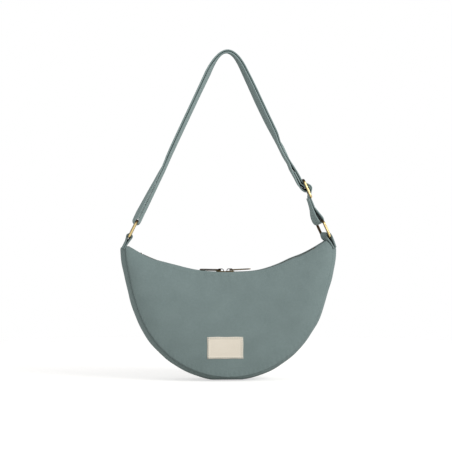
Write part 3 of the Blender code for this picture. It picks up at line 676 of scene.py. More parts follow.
def wire(path, across, radius, unshaded, sides=20):
    """A circle carried round a closed flat path: across is the way out of the path's plane.

    The UV map's x is a painted highlight and painted shade: up to the given share on the outside of the path,
    a quarter of that at its sides, and 0 on its inside, so the wire looks lit where it faces out.
    """
    ahead = unit(np.roll(path, -1, axis=0) - np.roll(path, 1, axis=0))
    out = np.cross(ahead, across)
    out *= np.sign(np.einsum("ij,ij->", out, path - path.mean(axis=0)))
    turn = np.linspace(0, math.tau, sides, endpoint=False)
    circle = np.cos(turn)[:, None] * out[:, None, :] + np.sin(turn)[:, None] * across
    points = path[:, None, :] + radius * circle
    # Painted highlight on the outside of the wire, painted shade at its sides and on its inside, times the
    # painted shade at the rail.
    wear_and_painted_light = np.append(0.5 + 0.5 * np.cos(turn), 1.0) ** 2 * np.append(unshaded, unshaded[0])[:, None]
    uv = joined(wear_and_painted_light, 0.0)
    return outward(skin(points, uv, around=True, ring=True))


def pad(outline, thickness, flat=8.0, round_rim=2.4, rows=13):
    """A plate at z = 0: the outline shrinks as cos^(2/flat), and the height goes as sin^(2/round_rim)."""
    turn = np.linspace(-0.49 * np.pi, 0.49 * np.pi, rows)[:, None, None]
    spread = np.cos(turn) ** (2 / flat)
    height = thickness / 2 * signed_power(np.sin(turn), 2 / round_rim)
    flat_points = np.hstack([outline, np.zeros((len(outline), 1))])
    points = flat_points * spread + np.array([0.0, 0.0, 1.0]) * height
    rim = spread[..., 0] ** 12 + np.zeros(len(outline) + 1)
    return outward(skin(points, joined(rim, 0.0), around=True))


def oblong(length, width, power=4.0, count=24):
    """A closed superellipse outline: |x / half length|^power + |y / half width|^power = 1."""
    turn = np.linspace(0, math.tau, count, endpoint=False)
    x = length / 2 * signed_power(np.cos(turn), 2 / power)
    y = width / 2 * signed_power(np.sin(turn), 2 / power)
    return joined(x, y)


def placed(part, origin, x_way, y_way, z_way):
    """A skin moved so that its own axes lie along three given ways."""
    return {**part, "points": part["points"] @ np.array([x_way, y_way, z_way]) + np.array(origin)}


def copies(part, origins, x_ways, y_ways, z_ways):
    """One skin that holds a copy of a small one at every origin, turned to the ways given there."""
    frames = np.stack([x_ways, y_ways, z_ways], axis=1)
    points = np.einsum("pk,nkc->npc", part["points"], frames) + origins[:, None, :]
    shift = np.arange(len(origins)) * len(part["points"])
    faces = (part["faces"][None] + shift[:, None, None]).reshape(-1, 4)
    caps = [cap + step for step in shift for cap in part["caps"]]
    lengths = np.tile(part["lengths"], (len(origins), 1, 1))
    return {"points": points.reshape(-1, 3), "faces": faces, "caps": caps, "lengths": lengths}


def stitches(centres, ahead, up, length=0.0026, thread=0.00055):
    """A row of stitches: short swollen threads that lie along the row and stand half out of the cloth."""
    ahead, up = unit(ahead), unit(up)
    one = pad(oblong(length, thread, power=2.4, count=10), thread, flat=2.2, round_rim=2.2, rows=5)
    return copies(one, centres, ahead, np.cross(up, ahead), up)


# %% [markdown]
# ## Label
#
# A small patch of undyed cotton is sewn low on the front. Its edges are folded under, so a border a few
# millimetres wide stands slightly higher and catches more light. It is laid on the panel: for each point of
# the patch, Newton's method finds the rib and the place on it that lie straight behind.

# %% Label

LABEL_WIDTH = 0.0493
LABEL_HEIGHT = 0.0298
LABEL_X = -0.0066
LABEL_Z = FLOOR + 0.0462
LABEL_RISE = 0.0009
LABEL_BORDER = 0.0028
LABEL_FOLD_STEP = 0.00025
LABEL_WAVE = 0.00012
LABEL_COTTON_THICKNESS = 0.0005


def panel_depth_behind(x, z):
    """Depth of the front panel at x and z: Newton steps on u and v until the rib passes through the point."""
    u, v = 0.5 + x * 1.1, np.full(x.shape, 0.25)
    small = 1e-5
    for _ in range(12):
        px, pz, _, _ = outer_surface(u, v, -1)
        ux, uz, _, _ = outer_surface(u + small, v, -1)
        vx, vz, _, _ = outer_surface(u, v + small, -1)
        a, b, c, d = (ux - px) / small, (vx - px) / small, (uz - pz) / small, (vz - pz) / small
        off_x, off_z, area = x - px, z - pz, a * d - b * c
        u = u + (off_x * d - off_z * b) / area
        v = v + (off_z * a - off_x * c) / area
    depth = outer_surface(u, v, -1)[2]
    return depth + soft_folds(x, z, FOLD_SEEDS[-1], FOLD_LENGTHS, FOLD_HEIGHT)


def label_grid():
    """A rectangle whose height is a hem's width of double cloth, then single cloth: both steps are eased."""
    x = LABEL_X + LABEL_WIDTH / 2 * np.sin(np.linspace(-np.pi / 2, np.pi / 2, 61))[:, None]
    z = LABEL_Z + LABEL_HEIGHT / 2 * np.sin(np.linspace(-np.pi / 2, np.pi / 2, 41))[None, :]
    edge = np.minimum(LABEL_WIDTH / 2 - np.abs(x - LABEL_X), LABEL_HEIGHT / 2 - np.abs(z - LABEL_Z))
    height = LABEL_RISE * (0.35 + 0.65 * ease(edge / 0.0007))
    height = height - LABEL_FOLD_STEP * ease((edge - LABEL_BORDER) / 0.0008)
    x, z = np.broadcast_arrays(x, z)
    x = x + LABEL_WAVE * np.sin(z / 0.0031) * (np.abs(x - LABEL_X) / LABEL_WIDTH * 2) ** 6
    z = z + LABEL_WAVE * np.sin(x / 0.0037) * (np.abs(z - LABEL_Z) / LABEL_HEIGHT * 2) ** 6
    points = joined(x, -panel_depth_behind(x, z) - height, z)
    return skin(points, joined(x, z))


# Undyed cotton for the label: a fine, even plain weave, warm off-white.
LABEL_COTTON = woven(
    "undyed label cotton", "#DBD1C0", "#F0E8D9", 0.0006, relief=0.00005, mottled=0.35, fuzz=0.1
)
label = add_piece("label_patch_cotton", [label_grid()], LABEL_COTTON, "bag", ["label_patch"])
give_thickness(label, LABEL_COTTON_THICKNESS)

# %% [markdown]
# ## Stitches
#
# Hems and label are sewn down with a thread of the cloth's own colour, three stitches to a centimetre. Each
# stitch is a small swollen thread, and a row is one mesh of copies at even steps along a line on the cloth.

# %% Rows of stitches

HEM_STITCH = 0.0034
LABEL_STITCH = 0.0014
STITCH_PITCH = 0.0033


def stitch_row(path, up):
    """Stitches at even steps along a path: up is the way out of the cloth."""
    even = resample(path, STITCH_PITCH)
    return stitches(even, np.gradient(even, axis=0), np.broadcast_to(up, even.shape))


def label_rows():
    """One row along each side of the label, on its raised border."""
    rows, share = [], np.linspace(-1, 1, 40)
    for along_x in (True, False):
        for side in (-1, 1):
            fixed = np.full_like(share, side)
            across, down = (share, fixed) if along_x else (fixed, share)
            x = LABEL_X + across * (LABEL_WIDTH / 2 - LABEL_STITCH)
            z = LABEL_Z + down * (LABEL_HEIGHT / 2 - LABEL_STITCH)
            line = joined(x, -panel_depth_behind(x, z) - LABEL_RISE, z)
            rows.append(stitch_row(line, (0, -1, 0)))
    return rows


def hem_row(side):
    """A row a few millimetres below the top edge of a panel."""
    u = np.linspace(0.03, 0.97, 160)
    rib = outer_surface(u, 0.0, side)[3]
    x, z, depth, _ = outer_surface(u, 1 - HEM_STITCH / rib, side)
    return stitch_row(joined(x, side * depth, z), (0, side, 0))


add_piece("label_stitches_thread", label_rows(), THREAD, "bag")
for word, side in FRONT_BACK:
    add_piece(f"{word}_hem_stitches_thread", [hem_row(side)], THREAD, "bag")

# %% [markdown]
# ## Zip
#
# The zip lies a little below the two hems: a twill tape each side, a row of brass teeth clamped on each
# tape's edge, two sliders that meet in the middle and a stop at each end. Teeth are one small shape, copied
# along the arc. The teeth of the two rows alternate.

# %% Zip tapes and teeth

CHAIN_BELOW_EDGE = 0.0015
COVERED_END = 0.0217
CHAIN_RADIUS = ZIP_RADIUS + CHAIN_BELOW_EDGE
CHAIN_HALF_ANGLE = ZIP_HALF_ANGLE - COVERED_END / CHAIN_RADIUS
TOOTH_PITCH = 0.0027
TOOTH_LENGTH = 0.0015
TOOTH_WIDTH = 0.0038
TOOTH_HEIGHT = 0.0024
TOOTH_FROM_MIDDLE = 0.0010
TAPE_PAST_CHAIN = 0.016
TAPE_THICKNESS = 0.0006

# Zip tape: a tight cotton twill dyed with the cloth, flatter and darker than the canvas.
TAPE = woven("cotton zip tape", "#5C6B6A", "#748381", 0.0008, twill=0.9, relief=0.00008, mottled=0.3)


def tape_grid(side):
    """A strip between the tooth roots and the hem, with a cord along its inner edge that the teeth clamp."""
    angle = np.linspace(-1, 1, 161)[:, None] * (CHAIN_HALF_ANGLE + TAPE_PAST_CHAIN)
    across = np.array([0.0012, 0.0014, 0.0019, 0.0024, 0.0030, 0.0050, 0.0075, 0.0100])[None, :]
    bead = 0.0005 * np.exp(-((across - 0.0018) / 0.0006) ** 2)
    x, z = on_zip_arc(angle, CHAIN_RADIUS - 0.0003 - bead)
    points = joined(x, side * across, z - bells(x, CHAIN_DIPS))
    lengths = joined(angle * CHAIN_RADIUS, across)
    return skin(points, lengths, turned=side < 0)


def arc_frames(angle, radius, sagging=True):
    """Places on the arc with the ways along it, across the bag and up from it."""
    x, z = on_zip_arc(angle, radius)
    z = z - (bells(x, CHAIN_DIPS) if sagging else 0.0)
    slope = angle + ZIP_TILT
    along = joined(np.cos(slope), 0.0, np.sin(slope))
    up = joined(-np.sin(slope), 0.0, np.cos(slope))
    return joined(x, 0.0, z), along, np.broadcast_to([0.0, 1.0, 0.0], along.shape), up


def tooth_row(side):
    """Teeth at even steps: a pad that narrows towards the middle, where the other row's teeth fit between."""
    count = int(2 * CHAIN_HALF_ANGLE * CHAIN_RADIUS / TOOTH_PITCH)
    angle = (np.arange(count) + (0.25 if side < 0 else 0.75) - count / 2) * TOOTH_PITCH / CHAIN_RADIUS
    origins, along, across, up = arc_frames(angle, CHAIN_RADIUS)
    shape = oblong(TOOTH_LENGTH, TOOTH_WIDTH, power=3.0, count=12)
    shape[:, 0] *= 1 - 0.18 * shape[:, 1] * -side / (TOOTH_WIDTH / 2)
    tooth = pad(shape, TOOTH_HEIGHT, flat=4.0, round_rim=3.0, rows=5)
    return copies(tooth, origins + side * TOOTH_FROM_MIDDLE * across, along, across, up)


def brass(name, bright, mid, dark, rough, worn=0.5):
    """Brass that was plated, then darkened: lighter where the UV map's x is near 1, darker near 0. On teeth,
    stops, sliders and pulls that is wear on the rims; on the rings and adjuster it is a painted highlight and
    painted shade.

    Noise breaks up the border between the two. Fine scratches come from a noise stretched along the piece.
    """
    material, tree, shader = new_material(name, Metallic=1.0)
    place = add_node(tree, "ShaderNodeTexCoord").outputs["Object"]
    blotches = noise(tree, place, 420.0, 4.0)
    wear_and_light_uv = add_node(tree, "ShaderNodeUVMap").outputs["UV"]
    wear_and_painted_light = add_node(tree, "ShaderNodeSeparateXYZ", {"Vector": wear_and_light_uv})
    level = computed(tree, "SUBTRACT", blotches, 0.5)
    # The UV map's x: rim wear on teeth, stops, sliders and pulls, and painted highlight and shade on rings
    # and adjuster.
    tone = computed(tree, "MULTIPLY_ADD", level, worn, wear_and_painted_light.outputs["X"])
    add_colours(tree, shader, tone, ((0.30, dark), (0.68, mid), (0.95, bright)))
    stretch = add_node(tree, "ShaderNodeMapping", {"Vector": place, "Scale": (300.0, 2500.0, 300.0)})
    scratches = noise(tree, stretch.outputs[0], 1.0, 2.0)
    span = {"Value": scratches, "To Min": rough - 0.08, "To Max": rough + 0.12}
    gloss = add_node(tree, "ShaderNodeMapRange", span)
    tree.links.new(gloss.outputs[0], shader.inputs["Roughness"])
    add_relief(tree, shader, scratches, 0.00003, 0.5)
    return material


# Teeth: brass wire, stamped and then darkened, so that they are dull brown gold with bright rubbed tips.
TOOTH_BRASS = brass("darkened brass teeth", "#8E7344", "#54432A", "#241C13", 0.42)

# Sliders and pulls: die-cast and plated an old bronze, nearly black in the hollows and brown on the rims.
BRONZE = brass("antique bronze plating", "#7D6A48", "#33291A", "#15110D", 0.38)

for word, side in FRONT_BACK:
    tape = add_piece(
        f"zip_tape_{word}_twill", [tape_grid(side)], TAPE, "bag", [f"zipper_tape_{word}"]
    )
    give_thickness(tape, TAPE_THICKNESS)
    add_piece(f"zip_teeth_{word}_brass", [tooth_row(side)], TOOTH_BRASS, "bag", [f"zipper_teeth_{word}"])

# %% Zip stops

STOP_LENGTH = 0.0028
STOP_WIDTH = 0.0056
STOP_HEIGHT = 0.0032
STOP_PAST_CHAIN = 0.0018

for word, side in LEFT_RIGHT:
    angle = np.array([side * (CHAIN_HALF_ANGLE + STOP_PAST_CHAIN / CHAIN_RADIUS)])
    origins, along, across, up = arc_frames(angle, CHAIN_RADIUS)
    outline = oblong(STOP_LENGTH, STOP_WIDTH, power=5.0, count=28)
    staple = pad(outline, STOP_HEIGHT, flat=5.0, round_rim=3.0)
    add_piece(f"zip_stop_{word}_brass", [copies(staple, origins, along, across, up)], TOOTH_BRASS, "bag",
              [f"zip_stop_{word}"])

# %% [markdown]
# ## Sliders and pulls
#
# Each slider is two plates held apart by a post, with flanges that keep the teeth in, and a bent strip on top
# that holds the pull. The pull is a flat bar with a slot at one end. They ride on bodies of their own,
# because they slide along the arc.

# %% Sliders and pulls

SLIDERS_MEET_X = -0.0043
SLIDER_LENGTH = 0.0126
SLIDER_WIDTH = 0.0092
JAW_INNER = TOOTH_HEIGHT / 2 + 0.0003
JAW = 0.0011
FLANGE = 0.0012
POST_LENGTH = 0.0022
POST_WIDTH = 0.0014
BRIDGE_LENGTH = 0.0092
BRIDGE_WIDTH = 0.0020
BRIDGE_THICKNESS = 0.0010
BRIDGE_GAP = 0.0024
PIVOT_HEIGHT = JAW_INNER + JAW + BRIDGE_GAP / 2
PULL_LENGTH = 0.030
PULL_WIDTH = 0.0052
PULL_THICKNESS = 0.0016
SLOT_LENGTH = 0.0066
SLOT_WIDTH = 0.0024
SLOT_MIDDLE = 0.0041
PULL_ROLL = {-1: 14.0, 1: 3.0}


def jaw_outline(side):
    """An oblong that is narrower at the end where the closed teeth come out."""
    outline = oblong(SLIDER_LENGTH, SLIDER_WIDTH, power=4.5, count=48)
    outline[:, 1] *= 1 - 0.16 * ease(0.5 + side * outline[:, 0] / SLIDER_LENGTH)
    return outline


def arch_path():
    """The bent strip over the jaws: up, over and down with round bends, as a superellipse's upper half."""
    turn = np.linspace(0, np.pi, 41)
    x = (BRIDGE_LENGTH / 2 - 0.0006) * signed_power(np.cos(turn), 0.55)
    z = JAW_INNER + JAW * 0.4 + (BRIDGE_GAP + JAW) * np.sin(turn) ** 0.55
    return joined(x, 0.0, z, 0.0, 1.0, 0.0)


def slider_parts(side):
    """The slider in its own frame: x along the chain, z up, and z = 0 in the middle of the teeth."""
    parts = []
    for up in (-1, 1):
        ways = ([1, 0, 0], [0, 1, 0], [0, 0, 1])
        jaw = pad(jaw_outline(side), JAW, flat=14.0)
        parts.append(placed(jaw, (0, 0, up * (JAW_INNER + JAW / 2)), *ways))
        for edge in (-1, 1):
            flange = pad(oblong(SLIDER_LENGTH * 0.8, FLANGE), FLANGE, flat=4.0, round_rim=3.0)
            height = up * (JAW_INNER - 0.0003)
            parts.append(placed(flange, (-side * 0.0008, edge * (SLIDER_WIDTH / 2 - 0.0009), height), *ways))
    post = pad(oblong(POST_LENGTH, POST_WIDTH, power=2.5), 2 * JAW_INNER + JAW)
    parts.append(placed(post, (-side * (SLIDER_LENGTH / 2 - 0.0016), 0, 0), *ways))
    parts.append(band(resample(arch_path(), 0.0003), BRIDGE_WIDTH, BRIDGE_THICKNESS, columns=9))
    return parts


def pull_part(side):
    """A flat ring of metal: its section goes from the slot over the top to the rim, and back underneath."""
    turn = np.linspace(0, math.tau, 64, endpoint=False)[:, None]
    rim_x = PULL_LENGTH / 2 * signed_power(np.cos(turn), 0.22) + PULL_LENGTH / 2 - 0.0006
    rim_y = PULL_WIDTH / 2 * signed_power(np.sin(turn), 0.5)
    slot_x = SLOT_LENGTH / 2 * signed_power(np.cos(turn), 0.4) + SLOT_MIDDLE
    slot_y = SLOT_WIDTH / 2 * signed_power(np.sin(turn), 0.6)
    section = np.linspace(0, math.tau, 20, endpoint=False)[None, :]
    share = 0.5 - 0.5 * signed_power(np.cos(section), 0.35)
    height = PULL_THICKNESS / 2 * signed_power(np.sin(section), 0.6)
    x, y = slot_x + (rim_x - slot_x) * share, slot_y + (rim_y - slot_y) * share
    rim = np.abs(np.cos(np.append(section, 0.0))) ** 3 + np.zeros((len(turn) + 1, 1))
    uv = joined(rim, 0.0)
    return outward(skin(joined(side * x, y, height), uv, around=True, ring=True))


for word, side in LEFT_RIGHT:
    middle = math.asin((SLIDERS_MEET_X + ZIP_RADIUS * math.sin(ZIP_TILT)) / CHAIN_RADIUS) - ZIP_TILT
    angle = middle + side * (SLIDER_LENGTH + 0.0003) / 2 / CHAIN_RADIUS
    origins, along, across, up = arc_frames(np.array([angle]), CHAIN_RADIUS, sagging=False)
    ways = along[0], across[0], up[0]
    body = [placed(part, origins[0], *ways) for part in slider_parts(side)]
    add_piece(f"zip_slider_{word}_bronze", body, BRONZE, f"zip_slider_{word}", [f"zip_slider_{word}"])
    lift, roll = side * math.radians(0.8), math.radians(PULL_ROLL[side])
    bar = along[0] * math.cos(lift) + up[0] * math.sin(lift)
    raised = up[0] * math.cos(lift) - along[0] * math.sin(lift)
    wide = across[0] * math.cos(roll) + raised * math.sin(roll)
    pull = placed(pull_part(side), origins[0] + up[0] * PIVOT_HEIGHT, bar, wide, np.cross(bar, wide))
    add_piece(f"zip_pull_{word}_bronze", [pull], BRONZE, f"zip_pull_{word}", [f"zip_pull_{word}"])

# %% [markdown]
# ## Covers over the zip's ends
#
# Beyond each stop the mouth is closed by a strip of canvas. It follows the zip's edge up to a ridge, goes
# over it and down to the bag's corner, and its sides tuck in under the hems.

# %% End covers

COVER_START = 0.0042
COVER_STEP = 0.0012
COVER_FOOT_INSET = 0.0022
COVER_BELOW_EDGE = 0.0007
COVER_RISE = 0.0007
COVER_TUCK = 0.0016


def cover_grid(side):
    """Rows follow the edge and then the short slope, columns go across with a low crown and tucked sides."""
    start = CHAIN_HALF_ANGLE + COVER_START / CHAIN_RADIUS
    x, z = on_zip_arc(side * np.linspace(start, ZIP_HALF_ANGLE, 16), ZIP_RADIUS + COVER_BELOW_EDGE)
    z = z - bells(x, EDGE_DIPS)
    x = np.append(x, outline_at(0.5 + side / 2, COVER_FOOT_INSET)[0])
    z = np.append(z, CORNER_HEIGHT + FLOOR - 0.0006)
    path = joined(x, 0.0, z, 0.0, 1.0, 0.0)
    path = resample(path, COVER_STEP, smooth=3)
    half = MOUTH_DEPTH / 2 - 0.0006
    y = half * np.sin(np.linspace(-np.pi / 2, np.pi / 2, 17))
    lift = COVER_RISE * (1 - (y / half) ** 2) - quarter_roll(half - np.abs(y), COVER_TUCK)
    ahead = np.gradient(path[:, :3], axis=0)
    up = unit(side * joined(-ahead[:, 2], 0.0, ahead[:, 0]))
    points = path[:, None, :3] + y[:, None] * [0.0, 1.0, 0.0] + lift[:, None] * up[:, None, :]
    along = np.arange(len(path)) * COVER_STEP
    lengths = joined(along[:, None], y)
    return skin(points, lengths, turned=side < 0)


for word, side in LEFT_RIGHT:
    cover = add_piece(f"zip_end_cover_{word}_canvas", [cover_grid(side)], CANVAS, "bag",
                      [f"zip_end_cover_{word}"])
    give_thickness(cover, CLOTH)

# %% [markdown]
# ## Rings and tabs
#
# A rectangular ring of round brass wire hangs in a folded canvas tab at each corner. A leg of the strap has a
# frame of its own: n points away from the middle of the bag and t runs up the leg from the ring's upper rail.
# Twisting the leg turns every point about its t axis, with the front edges going outwards.

# %% Frame of a leg

LEG = math.radians(26.5)
RING_WIRE = 0.0037
RING_INNER_WIDTH = 0.027
RING_SPACING = 0.0244
RING_CORNER = 0.0036
TAB_RISE = 0.013
LOWER_RAIL_X = BAG_WIDTH / 2 - CORNER_RUN / 2 - TAB_RISE * math.sin(LEG)
LOWER_RAIL_Z = LEVEL_TOP - CORNER_DROP / 2 + TAB_RISE * math.cos(LEG)
UPPER_RAIL_X = LOWER_RAIL_X - RING_SPACING * math.sin(LEG)
UPPER_RAIL_Z = LOWER_RAIL_Z + RING_SPACING * math.cos(LEG)


def leg_ways(side):
    """The foot of a leg, and the ways outwards, up the leg and back."""
    foot = np.array([side * UPPER_RAIL_X, 0.0, UPPER_RAIL_Z + FLOOR])
    out = np.array([side * math.cos(LEG), 0.0, math.sin(LEG)])
    up = np.array([-side * math.sin(LEG), 0.0, math.cos(LEG)])
    return foot, out, up, np.array([0.0, 1.0, 0.0])


def on_leg(side, n, t, twist=0.0):
    """Centres and width ways on a leg: both are turned about the leg's axis by the twist, in degrees.

    Centre = foot of the leg + t * up the leg + n * (outwards * cos + depth * sin). Width way = depth * cos -
    outwards * sin, so that the front edge moves outwards.
    """
    foot, out, up, deep = leg_ways(side)
    n, t, turn = np.broadcast_arrays(n, t, np.radians(twist))
    n, t, cos, sin = n[..., None], t[..., None], np.cos(turn)[..., None], np.sin(turn)[..., None]
    return np.concatenate([foot + t * up + n * (out * cos + deep * sin), deep * cos - out * sin], axis=-1)


def between_edges(side, edges, width):
    """Centres, width ways and curls of a band with known edges.

    The columns of edges are n and t in front, n and t behind, and how far the front edge curls outwards.
    """
    foot, out, up, deep = leg_ways(side)
    front_n, front_t, back_n, back_t, curl = np.transpose(edges)[..., None]
    way = width * deep + (back_n - front_n) * out + (back_t - front_t) * up
    centre = foot + (front_n + back_n) / 2 * out + (front_t + back_t) / 2 * up
    return np.hstack([centre, unit(way), curl * out])


# %% Rings

# Rings and adjuster: drawn brass wire with an antique finish. Its UV map paints a highlight on the outside of
# the wire and shade at its sides, on its inside and at the upper rail under the webbing, so it looks golden
# in front and brown in its shaded turns.
RING_BRASS = brass("antique brass wire", "#DCC68E", "#8A744A", "#33281A", 0.30, worn=0.3)
RING_TWIST = {-1: 0.0, 1: 11.5}
RING_ROLL = {-1: 0.0, 1: math.radians(5.0)}


def rounded_frame(half_width, half_height, corner, steps=10):
    """A closed outline of four quarter circles, joined by its straight sides: (width, height) points."""
    points = []
    for quarter, (right, up) in enumerate([(1, 1), (-1, 1), (-1, -1), (1, -1)]):
        turn = np.linspace(0, np.pi / 2, steps) + quarter * np.pi / 2
        middle = np.array([right * (half_width - corner), up * (half_height - corner)])
        points.append(middle + corner * joined(np.cos(turn), np.sin(turn)))
    outline = np.concatenate(points)
    closed = np.vstack([outline, outline[:1]])
    return resample(np.hstack([closed, np.zeros((len(closed), 1))]), 0.0009)[:-1, :2]


def unshaded_below_rail(height, rail):
    """Painted shade at the upper rail, where the webbing wraps round it: 1 below the rail, easing down to 0.2
    at it.
    """
    return 1 - 0.8 * ease((height / rail - 0.62) / 0.3)


def ring_part(side):
    """The ring hangs below its upper rail: width is depth, height is up the leg, turned by roll and twist."""
    half_width = (RING_INNER_WIDTH + RING_WIRE) / 2
    width, height = rounded_frame(half_width, RING_SPACING / 2, RING_CORNER).T
    # Painted shade on the ring's upper rail, under the webbing.
    unshaded = unshaded_below_rail(height, RING_SPACING / 2)
    cos, sin = math.cos(RING_ROLL[side]), math.sin(RING_ROLL[side])
    width, height = width * cos - height * sin, width * sin + height * cos
    places = on_leg(side, 0.0, height - RING_SPACING / 2, RING_TWIST[side])
    path = places[:, :3] + width[:, None] * places[:, 3:]
    out = on_leg(side, 1.0, 0.0, RING_TWIST[side])[:3] - on_leg(side, 0.0, 0.0, RING_TWIST[side])[:3]
    return wire(path, out, RING_WIRE / 2, unshaded)


for word, side in LEFT_RIGHT:
    add_piece(f"ring_{word}_brass", [ring_part(side)], RING_BRASS, f"ring_{word}", [f"ring_{word}"])

# %% Tabs

TAB_WIDTH = 0.025
TAB_THICKNESS = 0.0026

# The way of each tab's two edges round the lower rail, in mm: n and t in front, then n and t behind. The left
# tab gapes at the front; the right one is pulled askew by its ring, so its edges pass the rail in two places.
TAB_EDGES = {
    -1: [(-1.4, -43, -1.4, -43), (-1.9, -35, -1.3, -34), (-2.8, -29, -1.3, -27.9), (-3.6, -25, -3.1, -24.8),
         (-3.2, -22, -2.5, -22), (-0.4, -20.7, 0.0, -21), (2.4, -22, 2.5, -22), (3.0, -25, 3.1, -24.8),
         (2.2, -29, 1.3, -27.9), (1.1, -35, 1.3, -34), (1.2, -43, 1.2, -43)],
    1: [(0.6, -43, 0.6, -43), (0.0, -34, -1.8, -32), (-0.8, -28, -4.6, -27), (-1.0, -25, -5.6, -23.5),
        (0.0, -21.4, -4.8, -19.6), (2.4, -20.6, -2.6, -17.6), (4.7, -22.0, -0.4, -19.2),
        (5.6, -25.5, 0.7, -23.5), (5.2, -30, 1.6, -29), (4.6, -35, 3.0, -35), (3.3, -43, 3.3, -43)],
}


def tab_part(side):
    """A band whose two edges follow smooth curves through the table's rows."""
    edges = [(*row, 0.0) for row in TAB_EDGES[side]]
    path = resample(between_edges(side, 0.001 * through(edges), TAB_WIDTH), 0.0008, smooth=2)
    return band(path, TAB_WIDTH, TAB_THICKNESS, columns=21)


for word, side in LEFT_RIGHT:
    add_piece(f"tab_{word}_canvas", [tab_part(side)], CANVAS, "bag", [f"tab_{word}"])

# %% [markdown]
# ## Strap
#
# Cotton webbing, woven in herringbone, 25 mm wide. One length of it starts at the adjuster's middle bar, goes
# over the top and down to the left ring, turns there, comes back over the top, weaves through the adjuster
# and ends sewn round the right ring. Each stretch is a band carried along its path. The straight stretches
# beside the adjuster lie between two bodies, and are attached to neither.

# %% Twist and lie of the strands

STRAP_WIDTH = 0.025
STRAP_THICKNESS = 0.0019
PLY_OFFSET = (STRAP_THICKNESS + 0.0003) / 2
RUN_TOP = 0.2277
APEX_HEIGHT = 0.4552
APEX_LEAN = -3.0
EDGE_CURL = 0.0006
RIB_HEIGHT = 0.00007
STEP = 0.00055

# How the two strands of a leg lie, row by row up the leg: height above the ring's upper rail in mm, how far
# the pair bows outwards in mm, how it leans in degrees with its front edges outwards, and how far its back
# edges part in mm.
LIE = {
    -1: [(12, 0, -2.3, 8.5), (24, 0, -0.6, 7.9), (44, 0, 0.5, 6.5), (60, 0, 2.0, 5.2), (76, 0, 3.1, 4.2),
         (88, 0.1, 5.6, 2.4), (100, 0.3, 9.3, 0.1), (116, 0.9, 10.0, 0), (148, 1.7, 10.3, 0),
         (188, 2.6, 10.4, 0), (228, 3.5, 12.0, 0)],
    1: [(22, 0.2, 0, 0), (38, 1.1, 0, 0), (48, 0.7, 0, 0), (60, 0.6, 0, 0), (70, 0.5, 0, 0),
        (82, -0.4, 0, 0.8), (92, -1.1, -2.6, 2.4), (104, -1.6, -4.8, 4.2), (120, -1.6, -4.6, 4.0),
        (134, -1.6, 6.4, 0.2), (148, -1.7, 9.6, 0), (164, -1.7, 10.7, 0), (188, -1.3, 11.2, 0),
        (204, -0.8, 10.5, 0), (220, -0.5, 9.1, 0), (236, -0.3, 7.1, 0)],
}
LEG_TOP = {side: rows[-1][0] / 1000 for side, rows in LIE.items()}
LEFT_FOOT = LIE[-1][0][0] / 1000

# The edges of the webbing round the rings' upper rails, in mm: n and t in front, n and t behind, and the curl
# of the front edge. The left loop is a cone that is wider at the back. The right one follows a rail that is
# turned away from the camera.
LEFT_LOOP = [(-0.8, 12, -4.9, 12, -1.0), (-0.6, 7, -5.1, 6, -1.0), (-0.5, 3.3, -5.3, 2, -0.7),
             (-2.2, 1.9, -5.2, -0.6, -0.2), (-2.8, -0.8, -4.7, -2.6, 0), (-1.6, -2.6, -2.8, -4.8, 0),
             (0.0, -3.0, 0.0, -5.3, 0), (1.6, -2.6, 2.8, -4.8, 0), (2.8, -0.8, 4.8, -2.6, 0),
             (2.2, 1.9, 5.3, -0.6, 0.2), (0.4, 3.3, 5.5, 2, 0.7), (0.1, 7, 5.6, 6, 1.0),
             (-0.2, 12, 5.8, 12, 1.0)]
RIGHT_LOOP = [(0.3, 35, 0.3, 35, 0), (-0.8, 26, -0.9, 26.5, 0), (-1.3, 20, -2.8, 18.5, 0),
              (-1.8, 13, -4.4, 14.5, 0), (-1.9, 7, -6.0, 10, 0), (-1.4, 3, -6.9, 5, 0),
              (-0.7, 0, -7.0, 0, 0), (0.3, -2.2, -5.6, -3.2, 0), (2.4, -3.1, -2.6, -4.5, 0),
              (4.4, -2.2, 0.6, -3.2, 0), (5.6, 0, 1.9, 0, 0), (5.4, 4, 1.9, 5, 0),
              (3.9, 10, 1.6, 11, 0), (2.2, 17, 1.4, 17, 0), (1.3, 22, 1.3, 22, 0)]


def lie(side, t):
    """Bow, lean and parting at heights t: a smooth curve runs through the table's rows."""
    curve = through(LIE[side])
    bow, lean, parted = (np.interp(1000 * t, curve[:, 0], column) for column in curve[:, 1:].T)
    return 0.001 * bow, STRAP_WIDTH / 2 * np.sin(np.radians(lean)), 0.001 * parted


def leaning(side, n, t, behind=0.0, above=0.0):
    """Webbing that lies n from the middle of the leg's pair, as an edge in front and one behind.

    The front edge is at n + bow + lean. The back edge is at n + bow - lean + behind, moved apart by half of
    the parting, and it's higher than the front edge by above. Where they part, the strands still touch a few
    millimetres behind their front edges, so that a dark groove shows between them and no light.
    """
    n, t, behind, above = np.broadcast_arrays(n, t, behind, above)
    bow, lean, parted = lie(side, t)
    outside, opening = np.sign(n), parted / STRAP_WIDTH / 2 * CURL_REACH
    front = n + bow + lean - outside * (opening + np.minimum(0.1 * parted, 0.00015))
    back = n + bow - lean + behind + outside * parted / 2
    edges = joined(front, t, back, t + above, outside * (EDGE_CURL + opening))
    return between_edges(side, edges, STRAP_WIDTH)


